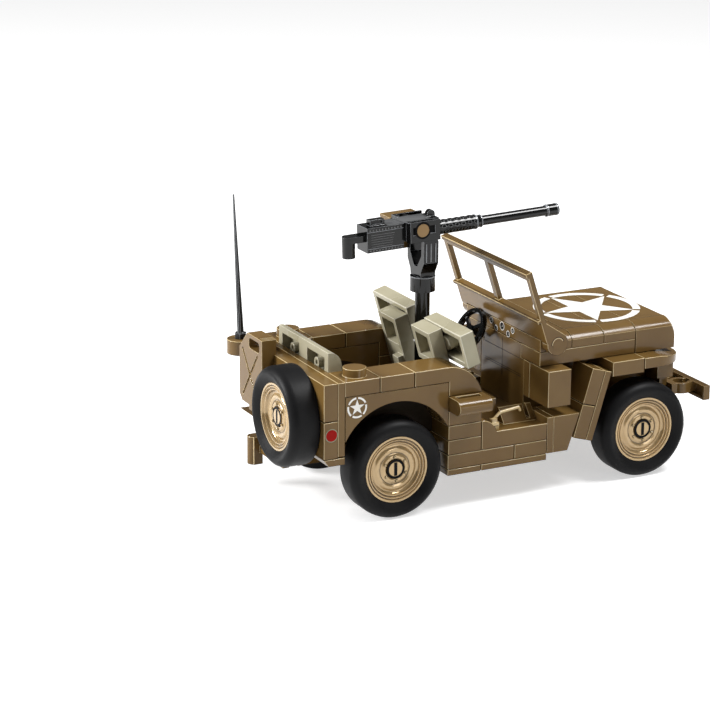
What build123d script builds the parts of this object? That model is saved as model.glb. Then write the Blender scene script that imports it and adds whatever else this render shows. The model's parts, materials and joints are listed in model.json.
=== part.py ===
from build123d import *
import os
from math import cos, radians, sin

# A brick-built toy of an open army 4x4 car with a pedestal gun, about 1:33 scale.
# Millimetres. +X is the front of the car, +Y its left side, +Z up, and the wheels stand on Z = 0.
# The origin lies on the ground under the middle of the bounding box.

# Brick grid
pitch = 8.0  # from stud to stud
plate = 3.2  # thickness of a plate
play = 0.1  # how far a piece stands back from its grid line
seam = 0.1  # gap between pieces stacked on each other
stud_r = 2.45
stud_h = 1.75
bar_r = 1.6  # radius of a round bar that fits a clip
flange = 1.6  # thickness of half a plate, as on brackets

# Wheels
tyre_r = 10.6
tyre_w = 6.4
rim_r = 7.2
rim_w = 5.6
rim_lip = 0.7  # width of the bright lip of a rim
lip_back = 1.0  # how far the lip lies behind the sidewall of the tyre
dish_deep = 1.1  # how far the disc of a rim lies behind the lip
recess_r = 2.3  # the hole in the disc that shows the axle pin
recess_deep = 1.4
wheelbase = 60.4
track_outer = 41.6  # over the outer sidewalls of two wheels
pin_r = 1.6
pin_head_r = 1.95
pin_slot = 0.5
slot_deep = 0.8
pin_fit = 0.05  # radial running clearance of a pin
pin_back = 1.5  # how far the head of an axle pin lies behind the sidewall

# Length along the car, measured from the rear face of the body
tile_deep = 3.2  # the tiles on the rear face lie on their sides
spare_stand = 6.5  # how far the spare wheel stands out behind
rear_axle = 16.8
door_to_axle = 24.4  # from the front of the door opening to the front axle
front_overhang = 16.7  # from the front axle to the front of the bumper
bumper_reach = rear_axle + wheelbase + front_overhang
post_reach = 32.95

# Width and height
body_half = 20.0
wall_w = 8.0
wall_top = 31.15
hood_half = 16.0
front_drop = 1.1  # the hood group sits this much lower than the plates of the tub
hood_rise = 3.4  # from the top of the side strip to the top of the hood
hood_edge = 4.0  # width of the curved edge of the hood
hood_sag = 1.5  # its height
arch_r = 13.5
arch_z = 11.95

rear_face = -(bumper_reach - spare_stand) / 2
rear_axle_x = rear_face + rear_axle
front_axle_x = rear_axle_x + wheelbase
sides = (("left", 1), ("right", -1))


def grid_x(n):
    """The place of the nth grid line ahead of the rear bracket."""
    return rear_face + tile_deep + flange + n * pitch


def nose_x(n):
    """The place of the nth grid line ahead of the door opening."""
    return front_axle_x - door_to_axle + n * pitch


def level(n):
    """The height n plates above the top of the tub's walls."""
    return wall_top + n * plate


def front_level(n):
    """The height n plates above the top of the hood's side strip."""
    return wall_top - front_drop + n * plate


def slab(x0, x1, y0, y1, z0, z1, mode=Mode.ADD):
    """A square-edged block between two corners, in the part being built."""
    with Locations(((x0 + x1) / 2, (y0 + y1) / 2, (z0 + z1) / 2)):
        Box(abs(x1 - x0), abs(y1 - y0), abs(z1 - z0), mode=mode)


def studs(places, z):
    """A stud on each (x, y) place, standing on height z."""
    with Locations(*[(x, y, z + stud_h / 2) for x, y in places]):
        Cylinder(stud_r, stud_h)


def side_cut(corners, y0, y1, mode=Mode.ADD):
    """A piece with the side view given by (x, z) corners, reaching from y0 to y1."""
    with BuildSketch(Plane.XZ.offset(-y0)) as outline:
        with BuildLine():
            Polyline(*corners, close=True)
        make_face()
    extrude(outline.sketch, amount=y0 - y1, mode=mode)


def leaning(corner, lean, along, up, across, mode=Mode.ADD):
    """A block turned by lean about an (x, z) corner: its reach along, up and across the car."""
    with BuildSketch(Plane.XZ.offset(-across[0])) as outline:
        with Locations(Location((corner[0], corner[1], 0), (0, 0, lean))):
            with Locations(((along[0] + along[1]) / 2, (up[0] + up[1]) / 2)):
                Rectangle(abs(along[1] - along[0]), abs(up[1] - up[0]))
    extrude(outline.sketch, amount=across[0] - across[1], mode=mode)


def ring(hub, outline):
    """A ring turned round the axis of a hub, from (depth behind its face, radius) corners."""
    with BuildSketch(Plane(hub.origin, x_dir=hub.z_dir, z_dir=hub.x_dir)) as profile:
        with BuildLine():
            Polyline(*[(-depth, radius) for depth, radius in outline], close=True)
        make_face()
    revolve(profile.sketch, axis=Axis(hub.origin, hub.z_dir))


def write(part, label):
    part.label = label
    export_step(part, f"parts/{label}.step")


os.makedirs("parts", exist_ok=True)

floor_top = level(-5)
floor_low = level(-6)
side_low = level(-7)
belly_low = side_low - 1.4  # a thin strip, less than half a plate
inner_half = body_half - wall_w
door_rear = grid_x(3)
door_front = nose_x(0)
hood_front = nose_x(4) + 2.0
hood_low = front_level(-1)
hood_top = front_level(0) + hood_rise
wall_in = inner_half + play
wall_out = body_half - play
bay_half = 7.9
fender_in = 9.4  # half width of the wall under the dash, and where the fenders begin

# Tyre: a sidewall that slopes down to the rim, a turned shoulder and a plain tread
shoulder = 1.5
tyre_outline = (
    (lip_back, rim_r), (0, tyre_r - shoulder), (shoulder, tyre_r), (tyre_w, tyre_r), (tyre_w, rim_r),
)

# Rim: a bright lip, a sloping dish and a disc with a hole for the axle pin
disc_r = 4.9
rim_outline = (
    (lip_back, rim_r), (lip_back, rim_r - rim_lip), (lip_back + dish_deep, disc_r),
    (lip_back + dish_deep, recess_r), (lip_back + dish_deep + recess_deep, recess_r),
    (lip_back + dish_deep + recess_deep, pin_r + pin_fit), (rim_w, pin_r + pin_fit), (rim_w, rim_r),
)

# Floor: one long tray with studs in the load bed and a lower part under the foot well
with BuildPart() as floor_plate:
    slab(grid_x(0), nose_x(4), -inner_half + play, inner_half - play, floor_low, floor_top)
    slab(door_rear, door_front - play, -inner_half + play, inner_half - play, side_low, floor_low)
    studs([(grid_x(n), y * pitch) for n in (1.5, 2.5) for y in (-1, 1)], floor_top)
write(floor_plate.part, "floor_plate")

# Rear cross plate under the floor, which carries the bumperette
cross_half = pitch / 2
block_half = 3.9  # half the length of an axle block along the car
with BuildPart() as rear_cross_plate:
    slab(
        rear_face + flange, rear_axle_x - block_half - 2 * play, -cross_half, cross_half,
        side_low, floor_low,
    )
write(rear_cross_plate.part, "rear_cross_plate")

# Lower side plates, two on each side, under the doors
with BuildPart() as lower_plates:
    for side, sign in sides:
        for x0, x1 in ((door_rear, grid_x(5) - play), (grid_x(5) + play, door_front - play)):
            slab(x0, x1, sign * wall_in, sign * wall_out, side_low, floor_low - seam)
write(lower_plates.part, "lower_plates")

# Belly plate: two thin strips under the floor, between the wheels
with BuildPart() as belly_plate:
    for x0, x1 in ((door_rear, grid_x(4) - play), (grid_x(4) + play, door_front - play)):
        slab(x0, x1, -wall_out, wall_out, belly_low, side_low - seam)
write(belly_plate.part, "belly_plate")

# Axle blocks: a brick across the car with a wheel pin at each end, its head slotted
pin_end = track_outer / 2 - pin_back
head_long = 1.1
for name, axle_x in (("rear_axle_block", rear_axle_x), ("front_axle_block", front_axle_x)):
    with BuildPart() as axle_block:
        slab(
            axle_x - block_half, axle_x + block_half, -inner_half + play, inner_half - play,
            side_low, floor_low,
        )
        for side, sign in sides:
            for radius, y0 in ((pin_r, inner_half - play), (pin_head_r, pin_end - head_long)):
                with BuildSketch(Plane.XZ.offset(-sign * y0)):
                    with Locations((axle_x, tyre_r)):
                        Circle(radius)
                extrude(amount=-sign * (pin_end - y0))
            slab(
                axle_x - pin_slot / 2, axle_x + pin_slot / 2,
                sign * (pin_end - slot_deep), sign * pin_end,
                tyre_r - pin_head_r, tyre_r + pin_head_r, mode=Mode.SUBTRACT,
            )
    write(axle_block.part, name)

# Wheels: tyre and rim
for where, axle_x in (("rear", rear_axle_x), ("front", front_axle_x)):
    for side, sign in sides:
        hub = Plane((axle_x, sign * track_outer / 2, tyre_r), x_dir=(1, 0, 0), z_dir=(0, sign, 0))
        with BuildPart() as tyre:
            ring(hub, tyre_outline)
        write(tyre.part, f"{where}_{side}_tyre")
        with BuildPart() as rim:
            ring(hub, rim_outline)
        write(rim.part, f"{where}_{side}_rim")

# Side walls of the tub: a brick with a round wheel arch and the cap row with its round end
cap_end_r = 8.4
for side, sign in sides:
    with BuildPart() as arch_wall:
        with BuildSketch(Plane.XZ.offset(-sign * wall_in)):
            with Locations(((grid_x(0) + grid_x(3)) / 2, (level(-4) + level(-1)) / 2 - seam / 2)):
                Rectangle(3 * pitch - 2 * play, 3 * plate - seam)
            with Locations((rear_axle_x, arch_z)):
                Circle(arch_r, mode=Mode.SUBTRACT)
        extrude(amount=sign * (wall_in - wall_out))
    write(arch_wall.part, f"{side}_arch_wall")
    with BuildPart() as wall_cap:
        for x0, x1 in ((grid_x(0), grid_x(1) - play), (grid_x(1) + play, grid_x(2) - play)):
            slab(x0, x1, sign * wall_in, sign * wall_out, level(-1), level(0))
        studs([(grid_x(0.5), sign * (body_half - pitch / 2))], level(0))
        with BuildSketch(Plane.XZ.offset(-sign * wall_in)):
            with BuildLine():
                Polyline(
                    (grid_x(3), level(0)), (grid_x(2) + play, level(0)),
                    (grid_x(2) + play, level(-1)), (grid_x(3) + play, level(-1)),
                    (grid_x(3) + play, level(-2) + seam), (grid_x(4) - play, level(-2) + seam),
                )
                RadiusArc((grid_x(4) - play, level(-2) + seam), (grid_x(3), level(0)), -cap_end_r)
            make_face()
        extrude(amount=sign * (wall_in - wall_out))
    write(wall_cap.part, f"{side}_wall_cap")

# Door posts: three stacked plates behind each door
with BuildPart() as door_posts:
    for side, sign in sides:
        for n in (-4, -5, -6):
            slab(
                door_rear + play, grid_x(4) - play, sign * wall_in, sign * wall_out,
                level(n), level(n + 1) - seam,
            )
write(door_posts.part, "door_posts")

# Side handles: a rounded grab bar on two arms ahead of each wheel arch
handle_reach = 4.8
arm_w = 1.3
slot_w = 1.4
slot_in = 0.4  # how far the slot starts from the wall
with BuildPart() as side_handles:
    for side, sign in sides:
        slab(
            door_rear + play, grid_x(4) - play, sign * wall_in, sign * body_half, level(-3), level(-2),
        )
        with BuildSketch(Plane.YZ.offset(door_rear + play)):
            with Locations((sign * (body_half + handle_reach - plate / 2), level(-2.5))):
                Circle(plate / 2)
            with Locations((sign * (body_half + (handle_reach - plate / 2) / 2), level(-2.5))):
                Rectangle(handle_reach - plate / 2, plate)
        extrude(amount=pitch - 2 * play)
        slab(
            door_rear + arm_w, grid_x(4) - arm_w, sign * (body_half + slot_in),
            sign * (body_half + slot_in + slot_w), level(-3), level(-2), mode=Mode.SUBTRACT,
        )
write(side_handles.part, "side_handles")

# Sills: a dished top with a bright lip, a slanted inner part and a rear end swept up
sill_top = level(-5) + 0.4
sill_lip = 0.7
sill_dish = 0.5
slope_x = grid_x(5)
slope_foot = 15.3  # half width at the foot of the slanted part
slope_top = level(-4) - 0.2
slope_edge = 0.6  # width of the flat top of the slanted part
notch_end = 1.4  # the notch in the slanted part, from its front end
notch_w = 0.8
sweep_end = 3.8  # length of the upswept rear end
sweep_flat = 0.9
sweep_r = 4.0
for side, sign in sides:
    with BuildPart() as sill:
        slab(
            grid_x(4) + play, door_front - play, sign * wall_in, sign * wall_out, floor_low, sill_top,
        )
        slab(
            grid_x(4) + play, door_front - play, sign * wall_in, sign * (wall_out - sill_lip),
            sill_top - sill_dish, sill_top, mode=Mode.SUBTRACT,
        )
        with BuildSketch(Plane.YZ.offset(slope_x)):
            with BuildLine():
                Polyline(
                    (sign * wall_in, sill_top - sill_dish), (sign * wall_in, slope_top),
                    (sign * (wall_in + slope_edge), slope_top),
                    (sign * slope_foot, sill_top - sill_dish),
                    close=True,
                )
            make_face()
        extrude(amount=door_front - play - slope_x)
        slab(
            door_front - notch_end - notch_w, door_front - notch_end,
            sign * wall_in, sign * slope_foot,
            sill_top, slope_top, mode=Mode.SUBTRACT,
        )
        sweep_top = (grid_x(4) + sweep_flat, level(-4) - seam)
        sweep_foot = (grid_x(4) + sweep_end, sill_top - sill_dish)
        with BuildSketch(Plane.XZ.offset(-sign * wall_in)):
            with BuildLine():
                Polyline(
                    sweep_foot, (grid_x(4) + play, sill_top - sill_dish),
                    (grid_x(4) + play, level(-4) - seam), sweep_top,
                )
                RadiusArc(sweep_top, sweep_foot, sweep_r)
            make_face()
        extrude(amount=sign * (wall_in - wall_out))
    write(sill.part, f"{side}_sill")

# Rear wall: a bracket, tiles lying on their sides, and the tile behind the fuel can
tile_end = 4.0
can_front = 0.6  # the fuel can reaches this far into the rear face
can_tile_drop = 0.8
touch = 0.02  # the gap between pieces that lie face to face
with BuildPart() as rear_bracket:
    slab(
        rear_face + tile_deep, grid_x(0) - touch, -wall_out, wall_out, floor_top + 2 * play, level(0),
    )
write(rear_bracket.part, "rear_bracket")
with BuildPart() as rear_tiles:
    for z0, z1 in ((wall_top - pitch + play, wall_top), (wall_top - 2 * pitch, wall_top - pitch - play)):
        slab(rear_face, rear_face + tile_deep - touch, -wall_out, tile_end, z0, z1)
    slab(
        rear_face + can_front, rear_face + tile_deep - touch, tile_end + play, body_half - 6,
        wall_top - 2 * pitch, wall_top - can_tile_drop,
    )
write(rear_tiles.part, "rear_tiles")

# Corner plates under the rear face, the left one with a pointed rear end
corner_reach = 0.9
corner_cut = 1.1
with BuildPart() as corner_plates:
    for sign, reach in ((1, corner_reach), (-1, 0.0)):
        side_cut(
            (
                (rear_face - reach, floor_top - seam), (grid_x(0) - touch, floor_top - seam),
                (grid_x(0) - touch, floor_top - flange), (rear_face + corner_cut, floor_top - flange),
            ),
            sign * wall_in, sign * wall_out,
        )
write(corner_plates.part, "corner_plates")

# Rear bench back: a curved piece on its side, with two hollows and a holed post in each
bench_top = wall_top + 4.0
bench_mid = 1.9  # half the thickness of the double wall between the hollows
hollow_w = 8.3
hollow_top = wall_top + 2.6
hollow_deep = 2.1
bench_post_y = 5.8
bench_post_z = wall_top + 0.4
bench_edge = 0.8
with BuildPart() as bench_back:
    with BuildSketch(Plane.XZ.offset(-inner_half + play)):
        with BuildLine():
            Polyline(
                (grid_x(0), level(-2)), (grid_x(0), bench_top), (grid_x(0) + bench_edge, bench_top),
            )
            RadiusArc(
                (grid_x(0) + bench_edge, bench_top), (grid_x(0) + plate, wall_top + bench_edge), plate,
            )
            Polyline(
                (grid_x(0) + plate, wall_top + bench_edge), (grid_x(0) + plate, level(-2)),
                (grid_x(0), level(-2)),
            )
        make_face()
    extrude(amount=2 * (inner_half - play))
    for side, sign in sides:
        slab(
            grid_x(0), grid_x(0) + hollow_deep, sign * bench_mid, sign * (bench_mid + hollow_w),
            level(-0.6), hollow_top, mode=Mode.SUBTRACT,
        )
    for radius, mode in ((1.15, Mode.ADD), (0.55, Mode.SUBTRACT)):
        for side, sign in sides:
            with Locations(
                Location((grid_x(0) + 1.3, sign * bench_post_y, bench_post_z), (0, 90, 0))
            ):
                Cylinder(radius, 2.0, mode=mode)
write(bench_back.part, "bench_back")

# Front seats: leaning backs with an open rear side and a round tube, smaller pieces behind
seat_lean = 16.0
seat_wall = 1.2
seat_deep = 2.3  # depth of the hollow in the rear side of a back
seat_in = 4.0
seat_tall = 7.7
tube_r = 1.6
lean_back = Vector(-cos(radians(seat_lean)), 0, -sin(radians(seat_lean)))
lean_down = Vector(sin(radians(seat_lean)), 0, -cos(radians(seat_lean)))
seat_top = Vector(door_rear + 5.45, 0, wall_top + 7.25)
for side, sign in sides:
    corner = (seat_top.X, seat_top.Z)
    with BuildPart() as seat_back:
        across = (sign * seat_in, sign * wall_out)
        leaning(corner, seat_lean, (-plate, 0), (-seat_tall, 0), across)
        across = (sign * (seat_in + seat_wall), sign * (wall_out - seat_wall))
        leaning(
            corner, seat_lean, (-plate, seat_deep - plate), (seat_wall - seat_tall, -seat_wall),
            across, mode=Mode.SUBTRACT,
        )
        tube = seat_top + lean_back * (plate - seat_deep / 2) + lean_down * (seat_tall / 2)
        with Locations(Plane(tube + Vector(0, sign * inner_half, 0), z_dir=lean_back)):
            Cylinder(tube_r, seat_deep)
    write(seat_back.part, f"{side}_seat_back")

# Smaller seat pieces: a short one on the right, a tall one with a rounded knob on the left
small_pieces = (
    # sign, drop of the top, height
    (-1, 0.3, seat_tall),
    (1, 1.3, 15.0),
)
knob_low, knob_high = 12.2, 8.7
knob_out = 1.4
with BuildPart() as seat_plates:
    for sign, drop, tall in small_pieces:
        top = seat_top + lean_back * (plate + seam) + lean_down * drop
        corner = (top.X, top.Z)
        across = (sign * seat_in, sign * (inner_half - play))
        leaning(corner, seat_lean, (-plate, 0), (-tall, 0), across)
        across = (sign * (seat_in + seat_wall), sign * (inner_half - play - seat_wall))
        leaning(
            corner, seat_lean, (-plate, seat_deep - plate), (seat_wall - seat_tall, -seat_wall),
            across, mode=Mode.SUBTRACT,
        )
        if tall > seat_tall:
            leaning(
                corner, seat_lean, (-plate - knob_out, -plate), (-knob_low, -knob_high),
                (sign * (seat_in + 0.3), sign * (seat_in + 2.9)),
            )
write(seat_plates.part, "seat_plates")
with BuildPart() as seat_bases:
    for side, sign in sides:
        slab(
            grid_x(4) + 2 * play, grid_x(5), sign * seat_in, sign * (inner_half - 2 * play),
            floor_top, level(-3.5),
        )
        slab(
            grid_x(3) + 2.4, grid_x(4), sign * seat_in, sign * (inner_half - 2 * play),
            floor_top, level(-4),
        )
write(seat_bases.part, "seat_bases")

# Dash: the dial panel with a hinge pin for the windshield at each end, and the wall under it
ear_x = door_front + 2.8
ear_z = front_level(0) + 2.3
ear_r = 2.5
ear_gap = 0.3
ear_pin_r = 1.1
ear_shift = 0.4  # how far the hinge pin lies behind the middle of the ear
ear_skin = 0.5  # thickness of the closed outer face of the ear
screen_half = 18.65
dash_top = front_level(1) - 0.5
with BuildPart() as dash_panel:
    slab(
        door_front + play, door_front + plate, -hood_half + play, hood_half - play,
        front_level(0) + seam, dash_top,
    )
    slab(
        door_front + play, door_front + plate, play - fender_in, fender_in - play,
        floor_top, hood_low,
    )
    slab(
        door_front + play, door_front + plate, -bay_half, bay_half, hood_low, front_level(0) - seam,
    )
    for side, sign in sides:
        with BuildSketch(Plane.XZ.offset(-sign * (hood_half - play))):
            with Locations((ear_x - ear_shift, ear_z)):
                Circle(ear_pin_r)
        extrude(amount=-sign * (screen_half - ear_skin - play - hood_half + play))
write(dash_panel.part, "dash_panel")

# Hood: four pieces with curved side edges, the front one deeper and rounded at its end
hood_cuts = (
    # from, to, depth below the top of the side strip
    (door_front + plate + play, nose_x(1) - play, 0.0),
    (nose_x(1) + play, nose_x(2) - play, 0.0),
    (nose_x(2) + play, nose_x(3) - play, 0.0),
    (nose_x(3) + play, hood_front, plate),
)
hood_y = hood_half - play
edge_z = hood_top - hood_sag
front_round = 0.9
with BuildPart() as hood:
    for x0, x1, deep in hood_cuts:
        with BuildSketch(Plane.YZ.offset(x0)):
            with BuildLine():
                Polyline(
                    (-hood_y, edge_z), (-hood_y, front_level(0) + seam - deep),
                    (hood_y, front_level(0) + seam - deep), (hood_y, edge_z),
                )
                ThreePointArc(
                    (hood_y, edge_z), (hood_y - 0.25 * hood_edge, hood_top - 0.4 * hood_sag),
                    (hood_y - hood_edge, hood_top),
                )
                Line((hood_y - hood_edge, hood_top), (hood_edge - hood_y, hood_top))
                ThreePointArc(
                    (hood_edge - hood_y, hood_top), (0.25 * hood_edge - hood_y, hood_top - 0.4 * hood_sag),
                    (-hood_y, edge_z),
                )
            make_face()
        extrude(amount=x1 - x0)
    front_edges = hood.edges().filter_by_position(Axis.X, hood_front - 0.01, hood_front + 0.01)
    chamfer(front_edges.filter_by_position(Axis.Z, edge_z - 2, hood_top + 1), front_round)
write(hood.part, "hood")
with BuildPart() as hood_strips:
    for side, sign in sides:
        slab(
            door_front + play, nose_x(3) - play, sign * (hood_half - pitch), sign * hood_y,
            hood_low + seam, front_level(0),
        )
write(hood_strips.part, "hood_strips")

# Boxes under the cowl, beside the dash, in an inner and an outer piece
cowl_deep = 5.6
cowl_inner = 4.0
cowl_low = front_level(-3.5)
with BuildPart() as cowl_boxes:
    for side, sign in sides:
        for y0, y1, x1 in ((fender_in, inner_half - play, cowl_inner), (wall_in, wall_out, cowl_deep)):
            slab(door_front, door_front + x1, sign * y0, sign * y1, cowl_low, hood_low)
write(cowl_boxes.part, "cowl_boxes")

# Wedge pieces ahead of the doors, each a flange and a slanted block
wedge_top = level(-4.5)
wedge_foot = 5.1
wedge_head = 7.9
bar_edge = 1.0  # the bar that joins flange and block stays this far inside them
with BuildPart() as wedges:
    for side, sign in sides:
        slab(
            door_front, door_front + flange - seam, sign * wall_in, sign * wall_out, side_low, wedge_top,
        )
        side_cut(
            (
                (door_front + flange, side_low), (door_front + wedge_foot, side_low),
                (door_front + wedge_head, wedge_top), (door_front + flange, wedge_top),
            ),
            sign * wall_in, sign * wall_out,
        )
        slab(
            door_front + flange - bar_edge, door_front + flange + bar_edge,
            sign * (wall_in + bar_edge), sign * (wall_out - bar_edge),
            side_low + bar_edge, wedge_top - bar_edge,
        )
write(wedges.part, "door_wedges")

# Mudguards: two slanted layers ahead of the wedges, the inner one in two pieces
guard_lean = -16.6
guard_corner = (door_front + 11.0, level(-1) - 1.7)
guard_long = 2 * pitch - 0.4
with BuildPart() as inner_mudguards:
    for side, sign in sides:
        across = (sign * wall_in, sign * wall_out)
        for up in ((-pitch + play, 0), (-guard_long, -pitch - play)):
            leaning(guard_corner, guard_lean, (0, plate), up, across)
write(inner_mudguards.part, "inner_mudguards")
with BuildPart() as outer_mudguards:
    for side, sign in sides:
        across = (sign * wall_in, sign * wall_out)
        leaning(guard_corner, guard_lean, (plate + seam, plate + seam + flange), (-guard_long, 0), across)
write(outer_mudguards.part, "outer_mudguards")

# Fenders: a square plate over the wheel and a thinner front piece with a round, falling corner
fender_turn = 7.5
fender_front = hood_front + 1.5
fender_low = front_level(-2) + 0.7
fender_fall = 1.0
turn_mid = fender_turn * (1 - cos(radians(45)))
for side, sign in sides:
    with BuildPart() as fender:
        slab(
            nose_x(2), nose_x(3) - play, sign * fender_in, sign * wall_out,
            front_level(-2), hood_low,
        )
        with BuildSketch(Plane.XY.offset(fender_low)):
            with BuildLine():
                Polyline(
                    (fender_front, sign * (wall_out - fender_turn)), (fender_front, sign * fender_in),
                    (nose_x(3) + play, sign * fender_in), (nose_x(3) + play, sign * wall_out),
                    (fender_front - fender_turn, sign * wall_out),
                )
                ThreePointArc(
                    (fender_front - fender_turn, sign * wall_out),
                    (fender_front - turn_mid, sign * (wall_out - turn_mid)),
                    (fender_front, sign * (wall_out - fender_turn)),
                )
            make_face()
        extrude(amount=hood_low - fender_low - seam)
        side_cut(
            (
                (fender_front - fender_turn, hood_low - seam), (fender_front, hood_low - seam),
                (fender_front, hood_low - seam - fender_fall),
            ),
            sign * fender_in, sign * wall_out, mode=Mode.SUBTRACT,
        )
    write(fender.part, f"{side}_fender")

# Engine block under the hood, and the grille with its side cheeks under the fenders
grille_thick = 1.9
grille_half = 13.6
grille_low = front_level(-4)
slot_count = 8
slot_step = 1.6
grille_slot = 0.9  # depth of the slots
grille_foot = 1.2  # height of the bar under them
cheek_long = 4.0
with BuildPart() as engine_bay:
    slab(
        door_front + plate + play, nose_x(3), -bay_half, bay_half, floor_top, front_level(0) - play,
    )
    slab(
        nose_x(3), hood_front - grille_thick - play, -bay_half, bay_half, floor_top, hood_low,
    )
write(engine_bay.part, "engine_block")
with BuildPart() as grille:
    slab(
        hood_front - grille_thick, hood_front, -grille_half, grille_half,
        grille_low, fender_low - seam,
    )
    slab(
        hood_front - grille_thick, hood_front, -fender_in + play, fender_in - play,
        fender_low - seam, hood_low,
    )
    for side, sign in sides:
        slab(
            hood_front - cheek_long, hood_front, sign * grille_half, sign * hood_y,
            front_level(-3) - 0.2, fender_low - seam,
        )
    for n in range(slot_count):
        y = (n - (slot_count - 1) / 2) * slot_step
        slab(
            hood_front - grille_slot, hood_front, y - slot_step / 4, y + slot_step / 4,
            grille_low + grille_foot, front_level(-2), mode=Mode.SUBTRACT,
        )
write(grille.part, "grille")
lamp_r = 2.5
lamp_y = 10.2
lamp_z = level(-4) + lamp_r + play
lamp_deep = 1.4
lamp_rim = 0.5
lamp_steps = (
    # radius, from, to, added or cut
    (lamp_r, 0.0, lamp_deep, Mode.ADD),
    (lamp_r - lamp_rim, lamp_deep - lamp_rim, lamp_deep, Mode.SUBTRACT),
)
with BuildPart() as headlamps:
    for side, sign in sides:
        for radius, x0, x1, mode in lamp_steps:
            with BuildSketch(Plane.YZ.offset(hood_front + x0)):
                with Locations((sign * lamp_y, lamp_z)):
                    Circle(radius)
            extrude(amount=x1 - x0, mode=mode)
write(headlamps.part, "headlamps")

# Front bumper: a channel open to the rear, two clips behind it and the frame horns
bumper_x = rear_face + bumper_reach
channel_rim = 0.6
clip_x = bumper_x - 3.9
clip_y = 14.0
clip_r = 2.4
clip_arm = 0.7  # thickness of the two arms that carry a clip
clip_low = level(-5) + 0.9
with BuildPart() as front_bumper:
    slab(bumper_x - flange, bumper_x, -body_half, body_half, level(-5), level(-4))
    slab(
        bumper_x - flange, bumper_x - channel_rim, channel_rim - body_half, body_half - channel_rim,
        level(-5) + channel_rim, level(-4) - channel_rim, mode=Mode.SUBTRACT,
    )
    for side, sign in sides:
        with BuildSketch(Plane.XY.offset(clip_low)):
            with Locations((clip_x, sign * clip_y)):
                Circle(clip_r)
                Circle(bar_r, mode=Mode.SUBTRACT)
            with Locations((clip_x + bar_r, sign * clip_y)):
                Rectangle(bar_r, 2 * (bar_r - clip_arm), mode=Mode.SUBTRACT)
        extrude(amount=level(-4) - clip_low)
        for shift in (-bar_r, bar_r - clip_arm):
            slab(
                clip_x + bar_r, bumper_x - channel_rim, sign * clip_y + shift,
                sign * clip_y + shift + clip_arm, clip_low, level(-4),
            )
    slab(
        hood_front + play, clip_x - bar_r, -clip_y - bar_r, clip_y + bar_r, clip_low, level(-4),
    )
    for side, sign in sides:
        slab(
            nose_x(4) + play / 2, bumper_x - channel_rim, sign * 5.0, sign * bay_half,
            level(-5), grille_low - play,
        )
write(front_bumper.part, "front_bumper")

# Windshield: a leaning frame with two panes, a ledge under them and an ear disc at each side
screen_lean = 18.3
screen_back = 2.55  # how far its rear face stands behind the hinge
screen_low = 0.7  # heights along the lean, from the hinge
pane_low = 6.07
pane_top = 15.27
screen_top = 17.07
screen_t = 1.2
post_w = 1.35
divider = 1.6
ledge = 0.75
ledge_out = 0.7
rail = 1.0
rail_out = 0.35
gusset = 4.8  # height along the lean to which the ear widens the side post
lean_x = sin(radians(screen_lean))
lean_z = cos(radians(screen_lean))
screen = Plane(
    (ear_x - screen_back, 0, ear_z), x_dir=(0, 1, 0), z_dir=(lean_z, 0, lean_x),
)
with BuildPart() as windshield:
    with BuildSketch(screen):
        with Locations((0, (screen_low + screen_top) / 2)):
            Rectangle(2 * screen_half, screen_top - screen_low)
        pane_mid = (divider / 2 + screen_half - post_w) / 2
        with Locations((-pane_mid, (pane_low + pane_top) / 2), (pane_mid, (pane_low + pane_top) / 2)):
            Rectangle(screen_half - post_w - divider / 2, pane_top - pane_low, mode=Mode.SUBTRACT)
    extrude(amount=screen_t)
    for z0, z1, out in ((pane_low - ledge, pane_low, ledge_out), (screen_top - rail, screen_top, rail_out)):
        with BuildSketch(screen):
            with Locations((0, (z0 + z1) / 2)):
                Rectangle(2 * screen_half, z1 - z0)
        extrude(amount=-out)
    for side, sign in sides:
        ear_in = sign * (hood_half + ear_gap)
        rear_x = ear_x - screen_back
        side_cut(
            (
                (rear_x - lean_x * screen_low, ear_z + lean_z * screen_low),
                (rear_x - lean_x * gusset, ear_z + lean_z * gusset),
                (rear_x + lean_z * screen_t - lean_x * gusset, ear_z + lean_z * gusset + lean_x * screen_t),
                (ear_x + ear_r / 2, ear_z + ear_r * cos(radians(30))),
                (ear_x - ear_r / 2, ear_z - ear_r * cos(radians(30))),
            ),
            ear_in, sign * screen_half,
        )
        with BuildSketch(Plane.XZ.offset(-ear_in)):
            with Locations((ear_x, ear_z)):
                Circle(ear_r)
        extrude(amount=ear_in - sign * screen_half)
        with BuildSketch(Plane.XZ.offset(-ear_in)):
            with Locations((ear_x - ear_shift, ear_z)):
                Circle(ear_pin_r + pin_fit)
        extrude(amount=ear_in - sign * (screen_half - ear_skin), mode=Mode.SUBTRACT)
write(windshield.part, "windshield")

# Pedestal: a round post on the floor between the seats
post_x = rear_face + post_reach
collar_low = wall_top + 11.2
collar_high = wall_top + 14.5
foot_r = 3.8
with BuildPart() as pedestal:
    for radius, z1 in ((foot_r, floor_top + flange), (bar_r, collar_high - play)):
        with BuildSketch(Plane.XY.offset(floor_top)):
            with Locations((post_x, 0)):
                Circle(radius)
        extrude(amount=z1 - floor_top)
write(pedestal.part, "gun_pedestal")

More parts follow.
